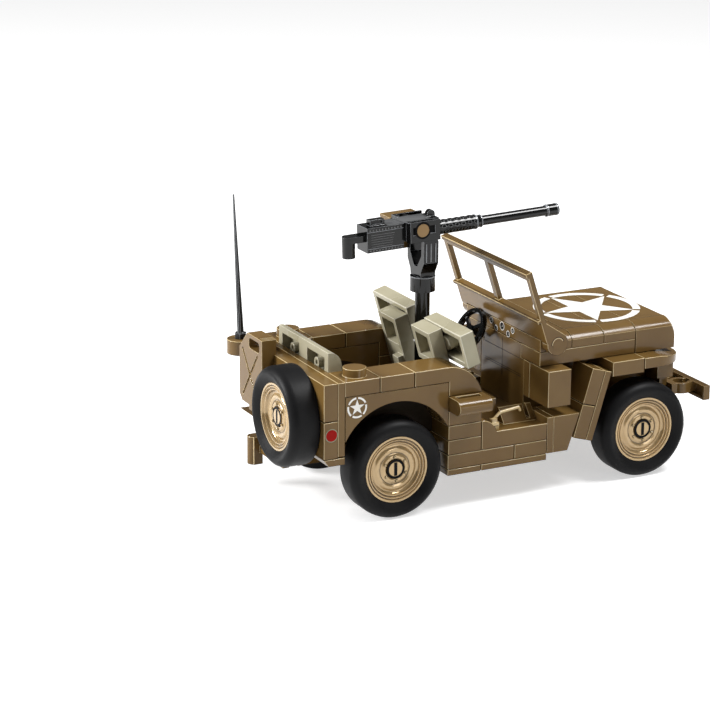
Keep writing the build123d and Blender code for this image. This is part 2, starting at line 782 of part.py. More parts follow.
# Gun fork: a collar round the post and two arms whose ears reach back to the pin of the gun
gun_x = post_x - 2.4
gun_z = wall_top + 25.45
receiver_half = 2.4
collar_r = 2.7
arm_in = receiver_half + play
arm_out = 3.7
arm_half = 1.75
arm_head = wall_top + 22.6  # above this the arms widen into ears
ear_round = 1.8
gun_pin_r = 1.3
arm_corners = (
    # across the car, above the collar, for one arm
    (2.2, 0.0), (2.4, 1.2), (arm_out, 3.4),
)
with BuildPart() as gun_fork:
    with BuildSketch(Plane.XY.offset(collar_low)):
        with Locations((post_x, 0)):
            Circle(collar_r)
            Circle(bar_r + pin_fit, mode=Mode.SUBTRACT)
    extrude(amount=collar_high - collar_low)
    with BuildSketch(Plane.YZ.offset(post_x - arm_half)):
        with BuildLine():
            Polyline(
                *[(-y, collar_high + z) for y, z in reversed(arm_corners)],
                *[(y, collar_high + z) for y, z in arm_corners],
                (arm_out, arm_head), (arm_in, arm_head), (arm_in, collar_high + 4.9),
                (0.7, collar_high + 2.2), (-0.7, collar_high + 2.2), (-arm_in, collar_high + 4.9),
                (-arm_in, arm_head), (-arm_out, arm_head), close=True,
            )
        make_face()
    extrude(amount=2 * arm_half)
    for side, sign in sides:
        side_cut(
            (
                (post_x - arm_half, arm_head), (post_x + arm_half, arm_head),
                (gun_x + ear_round * sin(radians(45)), gun_z + ear_round * cos(radians(45))),
                (gun_x - ear_round * sin(radians(60)), gun_z - ear_round * cos(radians(60))),
            ),
            sign * arm_in, sign * arm_out,
        )
        with BuildSketch(Plane.XZ.offset(-sign * arm_in)):
            with Locations((gun_x, gun_z)):
                Circle(ear_round)
        extrude(amount=sign * (arm_in - arm_out))
    with Locations(Location((gun_x, 0, gun_z), (90, 0, 0))):
        Cylinder(gun_pin_r + pin_fit, 2 * arm_out + 1, mode=Mode.SUBTRACT)
write(gun_fork.part, "gun_fork")

# Gun: everything below is drawn level, from its pin, and then tipped up a little about the pin
gun_tip = 1.9
gun_axis = Axis((gun_x, 0, gun_z), (0, -1, 0))
cheek_out = 4.4
cheek_in = arm_out + 0.15
cheek_rear, cheek_front = -2.9, 4.15
cheek_low, cheek_high = -2.5, 1.95
bridge = 0.9  # thickness of the wall that joins a cheek to the receiver behind the ears
receiver_rear, receiver_step = -12.1, -3.5
receiver_low, receiver_high = -3.75, 1.6
core_front = 4.9
core_low, core_high = -2.4, 1.75
cross_slot = 2.6  # half length of the slot round the pin
with BuildPart() as gun_pin:
    with Locations(Location((gun_x, 0, gun_z), (90, 0, 0))):
        Cylinder(gun_pin_r, 2 * cheek_out)
write(gun_pin.part.rotate(gun_axis, gun_tip), "gun_pin")
with BuildPart() as gun_receiver:
    slab(
        gun_x + receiver_rear, gun_x + receiver_step, -receiver_half, receiver_half,
        gun_z + receiver_low, gun_z + receiver_high,
    )
    slab(
        gun_x + receiver_step, gun_x + core_front, -receiver_half, receiver_half,
        gun_z + core_low, gun_z + core_high,
    )
    for side, sign in sides:
        slab(
            gun_x + cheek_rear, gun_x + cheek_front, sign * cheek_in, sign * cheek_out,
            gun_z + cheek_low, gun_z + cheek_high,
        )
        slab(
            gun_x + cheek_rear, gun_x + cheek_rear + bridge, 0, sign * cheek_in,
            gun_z + cheek_low, gun_z + core_high,
        )
        slab(
            gun_x - cross_slot + 0.3, gun_x + cross_slot + 0.3, sign * (cheek_out - 0.3),
            sign * cheek_out, gun_z - 0.8, gun_z + 0.8, mode=Mode.SUBTRACT,
        )
    # Front sight with a round top, and the box of the rear sight
    with BuildSketch(Plane.XZ.offset(0.6)):
        with Locations((gun_x + 4.0, gun_z + 2.2)):
            Circle(0.9)
        with Locations((gun_x + 4.0, gun_z + 1.7)):
            Rectangle(1.8, 1.0)
    extrude(amount=-1.2)
    slab(gun_x - 10.6, gun_x - 7.2, -0.9, 0.9, gun_z + receiver_high, gun_z + receiver_high + 1.2)
    slab(
        gun_x - 10.1, gun_x - 7.7, -0.9, -0.5, gun_z + receiver_high + 0.35,
        gun_z + receiver_high + 0.9, mode=Mode.SUBTRACT,
    )
    # Lug that carries the ammunition box
    slab(
        gun_x + cheek_rear, gun_x + cheek_rear + bridge, receiver_half, cheek_out,
        gun_z + cheek_low, gun_z + cheek_high,
    )
    with Locations(Location((gun_x, 0, gun_z), (90, 0, 0))):
        Cylinder(gun_pin_r, 2 * cheek_out, mode=Mode.SUBTRACT)
write(gun_receiver.part.rotate(gun_axis, gun_tip), "gun_receiver")

# Grips: an upright round handle hung from an arm behind the receiver
grip_x = gun_x - 15.3
grip_r = 1.4
grip_low, grip_high = -4.7, -0.1
with BuildPart() as gun_grips:
    with Locations((grip_x, 0, gun_z + (grip_low + grip_high) / 2)):
        Cylinder(grip_r, grip_high - grip_low)
    slab(grip_x, gun_x + receiver_rear, -grip_r, grip_r, gun_z + grip_high - 1.4, gun_z + grip_high)
write(gun_grips.part.rotate(gun_axis, gun_tip), "gun_grips")

# Ammunition box on the left of the gun, under a lid with an overhanging edge
ammo_rear, ammo_front = -3.1, 4.4
ammo_low, ammo_high = -5.9, 1.15
ammo_out = 9.4
lid = 0.7
with BuildPart() as ammo_box:
    slab(
        gun_x + ammo_rear + play, gun_x + ammo_front - play, cheek_out + play, ammo_out - play,
        gun_z + ammo_low, gun_z + ammo_high - lid,
    )
    slab(
        gun_x + ammo_rear, gun_x + ammo_front, cheek_out + play, ammo_out,
        gun_z + ammo_high - lid, gun_z + ammo_high,
    )
write(ammo_box.part.rotate(gun_axis, gun_tip), "ammo_box")

# Barrel: a jacket with a collar, the slim barrel and the muzzle ring
barrel_z = gun_z - 1.15
muzzle_bore = 0.7
barrel_steps = (
    # radius, from, to
    (1.55, core_front, 15.0),
    (1.3, 15.0, 16.3),
    (1.08, 16.3, 32.2),
    (1.3, 32.2, 35.1),
)
with BuildPart() as gun_barrel:
    for radius, x0, x1 in barrel_steps:
        with BuildSketch(Plane.YZ.offset(gun_x + x0)):
            with Locations((0, barrel_z)):
                Circle(radius)
        extrude(amount=x1 - x0)
    with BuildSketch(Plane.YZ.offset(gun_x + barrel_steps[-1][2] - 1.0)):
        with Locations((0, barrel_z)):
            Circle(muzzle_bore)
    extrude(amount=1.0, mode=Mode.SUBTRACT)
write(gun_barrel.part.rotate(gun_axis, gun_tip), "gun_barrel")

# Spare wheel on the rear tiles
spare_y = -8.0
spare_z = wall_top - 9.35
spare = Plane((rear_face - spare_stand, spare_y, spare_z), x_dir=(0, 1, 0), z_dir=(-1, 0, 0))
with BuildPart() as spare_tyre:
    ring(spare, tyre_outline)
write(spare_tyre.part, "spare_tyre")
with BuildPart() as spare_rim:
    ring(spare, rim_outline)
write(spare_rim.part, "spare_rim")

# Spare wheel holder: a slotted pin through the rim and its foot on the tile
holder_r = 3.0
head_x = rear_face - spare_stand + pin_back
with BuildPart() as spare_holder:
    for radius, x0 in ((pin_r, head_x), (holder_r, rear_face - spare_stand + rim_w + play)):
        with BuildSketch(Plane.YZ.offset(x0)):
            with Locations((spare_y, spare_z)):
                Circle(radius)
        extrude(amount=rear_face - x0)
    with BuildSketch(Plane.YZ.offset(head_x)):
        with Locations((spare_y, spare_z)):
            Circle(pin_head_r)
    extrude(amount=head_long)
    slab(
        head_x, head_x + slot_deep,
        spare_y - pin_slot / 2, spare_y + pin_slot / 2, spare_z - pin_head_r, spare_z + pin_head_r,
        mode=Mode.SUBTRACT,
    )
write(spare_holder.part, "spare_holder")

# Fuel can: a slim can with cut corners, a handle opening and a pressed cross
can_reach = 2.8  # how far the can stands out behind the rear face
can_rear = rear_face - can_reach
can_y0 = tile_end + play
can_y1 = 15.6
can_low = wall_top - 12.5
can_high = wall_top + 3.3
can_corner = 4.1  # width of the cut upper left corner
can_foot = 1.3
hole_y, hole_z = can_y0 + 3.9, wall_top + 1.3
cross_y = (can_y0 + can_y1) / 2 + 0.3
cross_z = wall_top - 5.8
cross_long = 12.8
cross_turn = 54.0
cross_w, cross_deep = 0.6, 0.25
with BuildPart() as fuel_can:
    with BuildSketch(Plane.YZ.offset(can_rear)):
        with BuildLine():
            Polyline(
                (can_y0 + can_foot, can_low), (can_y1 - can_foot, can_low), (can_y1, can_low + can_foot),
                (can_y1, can_high - can_corner), (can_y1 - can_corner, can_high), (can_y0, can_high),
                (can_y0, can_low + can_foot), close=True,
            )
        make_face()
        with Locations((hole_y, hole_z)):
            RectangleRounded(5.2, 2.2, 0.7, mode=Mode.SUBTRACT)
    extrude(amount=can_front + can_reach - touch)
    for turn in (cross_turn, -cross_turn):
        with BuildSketch(Plane.YZ.offset(can_rear)):
            with Locations(Location((cross_y, cross_z, 0), (0, 0, turn))):
                Rectangle(cross_long, cross_w)
        extrude(amount=cross_deep, mode=Mode.SUBTRACT)
write(fuel_can.part, "fuel_can")

# Antenna holder: a ring on a short arm at the left rear corner
antenna_x = rear_face + 0.3
holder_ring = 3.0
antenna_y = body_half + handle_reach - holder_ring
antenna_hole = 0.8
holder_top = front_level(0)
with BuildPart() as antenna_holder:
    slab(
        antenna_x - 0.9, rear_face + tile_deep - touch, can_y1 + play, antenna_y,
        holder_top - plate, holder_top,
    )
    with BuildSketch(Plane.XY.offset(holder_top - plate)):
        with Locations((antenna_x, antenna_y)):
            Circle(holder_ring)
    extrude(amount=plate)
    with Locations((antenna_x, antenna_y, holder_top - plate / 2)):
        Cylinder(antenna_hole, 2 * plate, mode=Mode.SUBTRACT)
write(antenna_holder.part, "antenna_holder")

# Antenna: a pin, a six-sided collar and a long whip that leans back and narrows to a point
whip_lean = 2.6
whip_tall = 31.0
whip_foot = 0.75
whip_point = 0.2
whip_steps = (
    # radius, sides, from, to, above the holder
    (antenna_hole - touch, 12, -plate, touch),
    (1.35, 6, touch, 1.3),
)
whip_up = Vector(-sin(radians(whip_lean)), 0, cos(radians(whip_lean)))
with BuildPart() as antenna:
    for radius, count, z0, z1 in whip_steps:
        with BuildSketch(Plane.XY.offset(holder_top + z0)):
            with Locations((antenna_x, antenna_y)):
                RegularPolygon(radius, count)
        extrude(amount=z1 - z0)
    whip = Plane((antenna_x, antenna_y, holder_top + 1.0), z_dir=whip_up)
    with BuildSketch(whip):
        RegularPolygon(whip_foot, 10)
    with BuildSketch(whip.offset(whip_tall)):
        RegularPolygon(whip_point, 10)
    loft(ruled=True)
write(antenna.part, "antenna")

# Steering wheel: a thin ring, three spokes, the hub and a short column into the dash
wheel_lean = 30.0
steering_r = 4.4
steering_bar = 0.72
steering_hub = 1.0
column_long = 3.4
spoke_w, spoke_t = 0.8, 0.6
steering = Plane(
    (door_front - 3.5, pitch, wall_top - 1.65),
    z_dir=(-cos(radians(wheel_lean)), 0, sin(radians(wheel_lean))),
)
with BuildPart() as steering_wheel:
    with BuildSketch(Plane(steering.origin, x_dir=steering.x_dir, z_dir=steering.y_dir)):
        with Locations((steering_r, 0)):
            RegularPolygon(steering_bar, 6)
    revolve(axis=Axis(steering.origin, steering.z_dir))
    with Locations(steering):
        Cylinder(steering_hub, 2 * spoke_t)
        for turn in (0, 120, 240):
            place = (steering_r / 2 * cos(radians(turn)), steering_r / 2 * sin(radians(turn)), 0)
            with Locations(Location(place, (0, 0, turn))):
                Box(steering_r, spoke_w, spoke_t)
        with Locations((0, 0, -column_long / 2)):
            Cylinder(spoke_w, column_long)
write(steering_wheel.part, "steering_wheel")

# Rear bumperette: an upright half-round column on a bar from the cross plate
column_y = 13.0
column_r = 1.5
column_flat = 0.7  # distance of its flat front from its middle
column_low = wall_top - 26.6
column_tall = 6.2
bar_low = side_low - flange
with BuildPart() as bumperettes:
    with BuildSketch(Plane.XY.offset(column_low)):
        with Locations((rear_face - column_flat, column_y)):
            Circle(column_r)
        with Locations((rear_face - column_flat / 2, column_y)):
            Rectangle(3 * column_flat, 2 * column_r)
    extrude(amount=column_tall)
    slab(rear_face, rear_face + flange, cross_half / 2, column_y, bar_low, side_low)
    slab(rear_face, rear_face + flange, 0, cross_half, bar_low, floor_low - 2 * play)
write(bumperettes.part, "rear_bumperettes")

# Rear lamp: a small plate under the fuel can
lamp_y0, lamp_y1 = 9.6, 14.0
lamp_out = 1.4
lamp_tall = 2.2
with BuildPart() as rear_lamps:
    slab(
        rear_face - lamp_out, rear_face + can_front - touch, lamp_y0, lamp_y1,
        can_low - lamp_tall, can_low - seam,
    )
write(rear_lamps.part, "rear_lamps")
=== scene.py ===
# %% [markdown]
# # A brick-built toy of an army 4x4 car
# The toy is ten centimetres long and is pressed together from moulded bricks. Its solids come
# packed as a fixed frame, so this lesson adds what the eye still misses: plastic finishes,
# rounded edges, turned wheels, prints and fine raised work. The solids could be modelled
# again here, but two models of one toy soon drift apart. The frame is in metres, with +X to
# the front, +Y to the left, and the wheels standing on Z = 0.
# %% Load the frame
import bpy
import bmesh
import json
from math import cos, pi, radians, sin
from mathutils import Matrix, Vector

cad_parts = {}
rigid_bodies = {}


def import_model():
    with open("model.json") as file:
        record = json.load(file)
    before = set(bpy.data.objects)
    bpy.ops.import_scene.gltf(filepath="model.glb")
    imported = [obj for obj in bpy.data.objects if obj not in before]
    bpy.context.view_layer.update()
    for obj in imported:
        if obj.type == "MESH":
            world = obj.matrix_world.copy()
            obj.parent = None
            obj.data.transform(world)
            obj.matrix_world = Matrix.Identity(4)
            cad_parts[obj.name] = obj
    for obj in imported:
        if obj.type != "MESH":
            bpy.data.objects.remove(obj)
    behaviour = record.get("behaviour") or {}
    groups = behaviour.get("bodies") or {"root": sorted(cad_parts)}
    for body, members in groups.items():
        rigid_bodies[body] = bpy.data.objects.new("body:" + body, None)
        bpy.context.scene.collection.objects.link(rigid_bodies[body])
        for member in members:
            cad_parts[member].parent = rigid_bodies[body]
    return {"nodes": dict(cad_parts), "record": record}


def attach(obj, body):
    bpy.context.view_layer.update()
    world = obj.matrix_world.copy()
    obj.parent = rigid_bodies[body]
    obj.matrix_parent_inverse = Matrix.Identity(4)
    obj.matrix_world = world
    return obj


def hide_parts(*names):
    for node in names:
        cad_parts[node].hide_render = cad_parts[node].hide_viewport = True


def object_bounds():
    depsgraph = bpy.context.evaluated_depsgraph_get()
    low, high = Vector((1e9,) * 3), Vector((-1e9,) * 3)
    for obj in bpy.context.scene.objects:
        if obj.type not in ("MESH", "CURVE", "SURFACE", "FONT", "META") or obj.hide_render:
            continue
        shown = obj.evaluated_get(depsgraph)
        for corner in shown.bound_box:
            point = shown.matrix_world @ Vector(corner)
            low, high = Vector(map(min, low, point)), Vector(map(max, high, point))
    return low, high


for old in list(bpy.data.objects):
    bpy.data.objects.remove(old)
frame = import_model()
cad_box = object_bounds()

# %% [markdown]
# ## Places
# A brick-built toy is measured best from its own bricks: along from the rear face of the body
# and up from the top of its walls, in millimetres. Writing the frame's metres by hand would
# work too, but no number would then mean anything on the toy. The gun tips on its pin and the
# windshield leans back, so each has a place function of its own, and what sits on them is
# written as if they stood square.
# %% Places
MM = 0.001
X, Y, Z = Vector((1, 0, 0)), Vector((0, 1, 0)), Vector((0, 0, 1))
SIDES = (("left", 1), ("right", -1))  # name, sign of Y
REAR = -43.7  # rear face of the body, along the frame's X
TOP = 31.15  # top of the side walls, above the ground
GUN_PIN_X, GUN_PIN_Z = 30.55, 25.45
GUN_TIP = radians(1.9)
SCREEN_FOOT_X, SCREEN_FOOT_Z = 53.05, 1.2
SCREEN_LEAN = radians(18.3)


def place(x, y, z):
    """A point measured from the rear face and the wall top, in the frame's metres."""
    return Vector(((REAR + x) * MM, y * MM, (TOP + z) * MM))


def gun_place(x, y, z):
    """A point measured from the pin of the gun, along the tipped gun."""
    return place(
        GUN_PIN_X + x * cos(GUN_TIP) - z * sin(GUN_TIP), y,
        GUN_PIN_Z + x * sin(GUN_TIP) + z * cos(GUN_TIP),
    )


def screen_place(out, y, rise):
    """A point on the windshield: how far behind its rear face, across, and up along the lean."""
    return place(
        SCREEN_FOOT_X - rise * sin(SCREEN_LEAN) - out * cos(SCREEN_LEAN), y,
        SCREEN_FOOT_Z + rise * cos(SCREEN_LEAN) - out * sin(SCREEN_LEAN),
    )


print("rear face", REAR, "mm, wall top", TOP, "mm")

# %% [markdown]
# ## Camera
# Small products are photographed from far off with a long lens, which keeps the far wheels
# nearly as large as the near ones. The camera could be turned by hand until it looks right.
# Here its angles were worked out from studs and seams whose places are known, and it is built
# from three directions, right, up and back, so that each angle keeps its plain meaning.
# %% Camera
AZIMUTH = radians(26.706)
ELEVATION = radians(16.855)
ROLL = radians(0.272)
CAMERA_SPOT = (-220.95, -472.92, 159.23)
FOCAL_PIXELS = 2617.2
PHOTO_PIXELS = 710
SENSOR_WIDTH = 36
NEAREST, FARTHEST = 0.01, 20  # metres that the camera sees

right = Vector((cos(AZIMUTH), -sin(AZIMUTH), 0))
back = Vector((-sin(AZIMUTH) * cos(ELEVATION), -cos(AZIMUTH) * cos(ELEVATION), sin(ELEVATION)))
up = back.cross(right)
right, up = cos(ROLL) * right + sin(ROLL) * up, cos(ROLL) * up - sin(ROLL) * right

camera_data = bpy.data.cameras.new("camera")
camera_data.sensor_width = SENSOR_WIDTH
camera_data.lens = SENSOR_WIDTH * FOCAL_PIXELS / PHOTO_PIXELS
camera_data.clip_start = NEAREST
camera_data.clip_end = FARTHEST
camera = bpy.data.objects.new("camera", camera_data)
bpy.context.scene.collection.objects.link(camera)
camera_turn = Matrix((right, up, back)).transposed().to_4x4()
camera.matrix_world = Matrix.Translation(place(*CAMERA_SPOT)) @ camera_turn
bpy.context.scene.camera = camera
print("lens", round(camera_data.lens, 1), "mm")

# %% [markdown]
# ## The room
# Glossy plastic shows what stands round it, so the room matters as much as the lamps. An
# evenly grey world would leave the tops and the sides of the bricks alike. This one is dim
# and grows brighter overhead, through a colour ramp on the height of each direction. The one
# small function that adds a node serves every material below as well.
# %% The room
ROOM_GREY = 0.06  # round the horizon and below it
CEILING_GREY = 0.9
CEILING_START = 0.45  # of the way from straight down to straight up
ROOM_STRENGTH = 0.4


def add(tree, kind, settings=None, inputs=None):
    """Adds a node with its own settings. An input is a plain value or a socket to link."""
    node = tree.nodes.new(kind)
    for name, value in (settings or {}).items():
        setattr(node, name, value)
    for name, value in (inputs or {}).items():
        if isinstance(value, bpy.types.NodeSocket):
            tree.links.new(value, node.inputs[name])
        else:
            node.inputs[name].default_value = value
    return node


scene = bpy.context.scene
scene.view_settings.view_transform = "Standard"
world = bpy.data.worlds.new("studio")
scene.world = world
world.use_nodes = True
room = world.node_tree
room.nodes.clear()
coords = add(room, "ShaderNodeTexCoord")
split = add(room, "ShaderNodeSeparateXYZ", inputs={"Vector": coords.outputs["Generated"]})
# The height runs from -1 to 1 and a ramp reads 0 to 1, so it is halved and lifted by a half.
half = add(room, "ShaderNodeMath", {"operation": "MULTIPLY_ADD"}, {
    0: split.outputs["Z"], 1: 0.5, 2: 0.5,
})
ramp = add(room, "ShaderNodeValToRGB", inputs={"Fac": half.outputs[0]})
stops = ramp.color_ramp.elements
stops[0].position, stops[0].color = CEILING_START, (ROOM_GREY, ROOM_GREY, ROOM_GREY, 1)
stops[1].position, stops[1].color = 1.0, (CEILING_GREY, CEILING_GREY, CEILING_GREY, 1)
glow = add(room, "ShaderNodeBackground", inputs={
    "Color": ramp.outputs["Color"], "Strength": ROOM_STRENGTH,
})
add(room, "ShaderNodeOutputWorld", inputs={"Surface": glow.outputs[0]})
print("room nodes", len(room.nodes))

# %% [markdown]
# ## Lamps
# Three soft square lamps stand where a product photographer would put softboxes. The one
# behind on the left draws the long highlights and throws the shadow to the near side, the one
# above lights the flat tops, and a weak one opens the near side. Sun lamps would be
# simpler, but they leave hard little glints where a softbox leaves a broad sheen.
# %% Lamps
LAMP_SIZE = 0.2
LAMP_AIM = Vector((0, 0, 0.02))
LAMPS = {
    # place in metres, watts
    "lamp_rear_left": ((-0.50, 0.24, 0.28), 4.9),
    "lamp_top": ((0.22, -0.12, 0.52), 3.3),
    "lamp_right": ((0.20, -0.60, 0.16), 0.5),
}

for name, (where, watts) in LAMPS.items():
    lamp_data = bpy.data.lights.new(name, "AREA")
    lamp_data.shape = "SQUARE"
    lamp_data.size = LAMP_SIZE
    lamp_data.energy = watts
    lamp = bpy.data.objects.new(name, lamp_data)
    lamp.location = where
    lamp.rotation_euler = (LAMP_AIM - Vector(where)).to_track_quat("-Z", "Y").to_euler()
    scene.collection.objects.link(lamp)
print("lamps", len(LAMPS))

# %% [markdown]
# ## Colours
# The toy's colours are read off a screen, as hex codes, and a screen colour isn't the amount
# of light that a shader reckons with. Typed in as it is, a brown would render far too pale.
# One function takes the screen's curve off each channel, and every colour goes through it.
# %% Colours
def linear(code):
    """A hex screen colour as a linear colour with full alpha."""
    channels = []
    for i in (0, 2, 4):
        c = int(code[i:i + 2], 16) / 255
        channels.append(c / 12.92 if c <= 0.04045 else ((c + 0.055) / 1.055) ** 2.4)
    return (*channels, 1)


print("mid grey 808080 is", round(linear("808080")[0], 3), "of full light")

# %% [markdown]
# ## Moulded plastic
# The whole toy is injection moulded, and such a surface is never one flat colour: it drifts a
# little over a brick, its gloss is uneven, and a fine grain from the mould breaks the
# reflections. A painted texture could show that, but it would need unwrapping. Noise on
# Object coordinates needs none, and its scale comes straight from millimetres on the toy.
# %% Moulded plastic
# Noise values gather round a half, so this band of them spreads over the whole colour ramp.
NOISE_LOW, NOISE_HIGH = 0.3, 0.7
GLOSSIEST, DULLEST = 0.8, 1.25  # share of the written roughness
# Real grain is a few hundredths of a millimetre, too fine to show, so it is drawn coarser.
GRAIN, GRAIN_DEPTH = 0.35, 0.02
PATCH = 9.0  # about one brick
COAT_ROUGHNESS = 0.08


def moulded(
    name, code, dark, rough, shine=0.5, grain=GRAIN, bump=0.2, metal=0.0, coat=0.0, patch=PATCH,
):
    """Moulded plastic whose colour drifts from code to dark; grain and patch are in mm."""
    material = bpy.data.materials.new(name)
    material.use_nodes = True
    tree = material.node_tree
    tree.nodes.clear()
    where = add(tree, "ShaderNodeTexCoord").outputs["Object"]
    drift = add(tree, "ShaderNodeTexNoise", inputs={
        "Vector": where, "Scale": 1 / (patch * MM), "Detail": 3.0, "Roughness": 0.5,
    }).outputs["Fac"]
    fine = add(tree, "ShaderNodeTexNoise", inputs={
        "Vector": where, "Scale": 1 / (grain * MM), "Detail": 4.0, "Roughness": 0.6,
    }).outputs["Fac"]
    tint = add(tree, "ShaderNodeValToRGB", inputs={"Fac": drift})
    for stop, level, shade in zip(tint.color_ramp.elements, (NOISE_LOW, NOISE_HIGH), (dark, code)):
        stop.position = level
        stop.color = linear(shade)
    gloss = add(tree, "ShaderNodeMapRange", inputs={
        "Value": drift, "From Min": NOISE_LOW, "From Max": NOISE_HIGH,
        "To Min": rough * GLOSSIEST, "To Max": rough * DULLEST,
    })
    relief = add(tree, "ShaderNodeBump", inputs={
        "Height": fine, "Strength": bump, "Distance": GRAIN_DEPTH * MM,
    })
    skin = add(tree, "ShaderNodeBsdfPrincipled", inputs={
        "Base Color": tint.outputs["Color"], "Roughness": gloss.outputs["Result"],
        "Normal": relief.outputs["Normal"], "Metallic": metal, "Specular IOR Level": shine,
        "Coat Weight": coat, "Coat Roughness": COAT_ROUGHNESS,
    })
    add(tree, "ShaderNodeOutputMaterial", inputs={"Surface": skin.outputs[0]})
    return material


print("colour drifts over", PATCH, "mm, grain", GRAIN, "mm")

# %% [markdown]
# ## Brick colours
# Each brick colour comes three times: the face, a painted highlight on its rounded edges and
# painted shade on its edges that look down or forward. On the real toy these are one plastic.
# At this size an edge is a fraction of a pixel wide, though, and would vanish between two
# faces, so the light and shade that the edges catch are painted into their colours, drawn
# stronger than they are. They are what lets the eye read the toy as many bricks instead of one block.
# %% Brick colours
# Glossy ABS in tan brown: warm, with soft patches of the room on its flat faces
tan = moulded("tan_abs_gloss", "70572f", "674e29", 0.16, shine=0.28)
# Painted highlight on its edges: a thin pale line wherever two faces meet
tan_painted_highlight = moulded("tan_abs_painted_highlight", "cdb687", "bda575", 0.18, shine=0.7)
# Painted shade on its edges that look down or forward: a thin brown line
tan_painted_shade = moulded("tan_abs_painted_shade", "3a2b16", "2d2110", 0.4, shine=0.1)
# The round pin through the gun: a paler tan dot on black
tan_light = moulded("tan_abs_pin", "8f7249", "846840", 0.25, shine=0.3)
# Satin ABS in greyish beige: broad, dull highlights on seats and bench
beige = moulded("beige_abs_satin", "a59f88", "979179", 0.28, shine=0.35)
# Painted highlight on its rounded edges: a soft pale line round each block of the seats
beige_painted_highlight = moulded("beige_abs_painted_highlight", "cfcbb9", "c3beab", 0.3)
# Painted shade on its edges: an olive grey line that parts one block from the next
beige_painted_shade = moulded("beige_abs_painted_shade", "6b6652", "5c5745", 0.4, shine=0.1)
# Polished black ABS: nearly black, with clear highlights along the gun
black = moulded("black_abs_gloss", "040505", "020303", 0.12, shine=0.36)
# Painted highlight on its edges: a silvery line that draws the form of a black part
black_painted_highlight = moulded("black_abs_painted_highlight", "85888c", "6f7276", 0.16, shine=0.7)
print(len(bpy.data.materials), "materials")

# %% [markdown]
# ## Wheels, prints and trim
# Tyres are soft rubber with a silky sheen, and rims are a pearl plastic, which carries fine
# metal flakes under a clear skin. A full metal would be too mirror-like, so the rims are only
# partly metallic, with a coat over it. Prints are ink on the plastic: matt, flat and even.
# %% Wheels, prints and trim
# Flexible black plastic of the antenna: a soft sheen along a thin rod
whip = moulded("black_flexible_satin", "0d0d0f", "080809", 0.3, shine=0.3)
# Matt rubber: dark grey, with a wide faint highlight round the shoulder
rubber = moulded("tyre_rubber_matt", "151516", "121213", 0.48, shine=0.12, grain=0.25, bump=0.5)
# Pearl plastic: a golden shimmer that turns with the curve of the rim
pearl = moulded(
    "rim_plastic_pearl", "bb9e70", "ae9366", 0.2, grain=0.6, bump=0.1, metal=0.4, coat=0.7, patch=40.0,
)
# Painted shade on the same plastic at the bottom of a groove: dark rings that show the rim's steps
pearl_painted_shade = moulded("rim_pearl_painted_shade", "5f4c30", "4e3d25", 0.3, bump=0.1, patch=40.0)
# White print ink: a warm flat white with no highlight of its own
white = moulded("white_print", "f2f0ea", "e6e3da", 0.4, bump=0.1)
# Red print ink: a deep flat red that stays dark beside the white
red = moulded("red_print", "981510", "8a100b", 0.4, shine=0.08, bump=0.1)
# Grey-green print ink: a faint rim that parts the red from the tan
sage = moulded("grey_green_print", "7f8a70", "748066", 0.4, bump=0.1)
# Black print ink, also painted shade: a matt black that reads as a hole or a deep shade
ink_and_painted_shade = moulded("black_print_and_painted_shade", "060607", "030304", 0.5, shine=0.1, bump=0.1)
# Painted shade in a narrow gap, step or hollow between mouldings: brown dark without any gloss
painted_brown_shade = moulded("dark_groove", "2b2115", "20180e", 0.6, shine=0.1, bump=0.1)
# Painted highlight on the black gun: grey ribs, rivets and plates that stand out from the black
gun_painted_highlight = moulded("grey_abs_gloss", "5a5b5c", "4f5051", 0.22)
# Clear-coated pearl grey of the headlamps: a bright disc
glass = moulded("lamp_lens_pearl", "c9cdd0", "b4b9bd", 0.12, coat=0.5)
SLOTS = {
    # face, painted highlight on its edges, painted shade on its edges
    "tan": (tan, tan_painted_highlight, tan_painted_shade), "beige": (beige, beige_painted_highlight, beige_painted_shade),
    "black": (black, black_painted_highlight, ink_and_painted_shade), "dark": (whip, black_painted_highlight, ink_and_painted_shade),
    "rim": (pearl, pearl, pearl), "tyre": (rubber, rubber, rubber),
}
print(len(bpy.data.materials), "materials")

# %% [markdown]
# ## From bmesh to piece
# Every piece is made in a bmesh and handed over the same way: smooth faces with sharp corners
# kept, its finish, and the moving body that it rides on. Doing this by hand for each piece
# would work, but one forgotten line would leave a piece behind when a joint moves.
# %% From bmesh to piece
slot_of = {part["node"]: part["material_slot"] for part in frame["record"]["subparts"]}
body_of = {
    node: body for body, nodes in frame["record"]["behaviour"]["bodies"].items() for node in nodes
}


def object_of(name, bm, materials, body, sharp=40):
    """Turns a bmesh into an object with its finish, which rides on a body."""
    for face in bm.faces:
        face.smooth = True
    mesh = bpy.data.meshes.new(name)
    bm.to_mesh(mesh)
    bm.free()
    mesh.set_sharp_from_angle(angle=radians(sharp))
    for material in materials:
        mesh.materials.append(material)
    piece = bpy.data.objects.new(name, mesh)
    bpy.context.scene.collection.objects.link(piece)
    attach(piece, body)
    return piece


def report(word):
    """Prints how many objects have a word in their names, and how many faces."""
    found = [o.data for o in bpy.data.objects if o.type == "MESH" and word in o.name]
    print(word, len(found), "pieces,", sum(len(mesh.polygons) for mesh in found), "faces")


# %% [markdown]
# ## Rounded edges
# No moulded brick has a knife edge: the mould leaves a radius of about a tenth of a
# millimetre. A bevel modifier could round the edges too, but the bevel operator also returns
# its new faces. Each of them gets a painted highlight or, where it looks down or forward and
# so away from the lamps, painted shade. The copy is first welded and cleared of flat edges,
# because an imported mesh is loose triangles.
# %% Rounded edges
WELD = 0.002 * MM
FLAT_ANGLE = radians(1.0)
SHARP_ANGLE = radians(26)
LOOKS_DOWN = -0.3  # upward part of a face's direction
LOOKS_FORWARD = 0.3  # forward part of it
NEARLY_LEVEL = 0.45
EDGES = {
    # width in mm, segments
    "black": (0.09, 2), "dark": (0.05, 1), "beige": (0.17, 2), "tan": (0.1, 2), "rim": (0.1, 2),
}


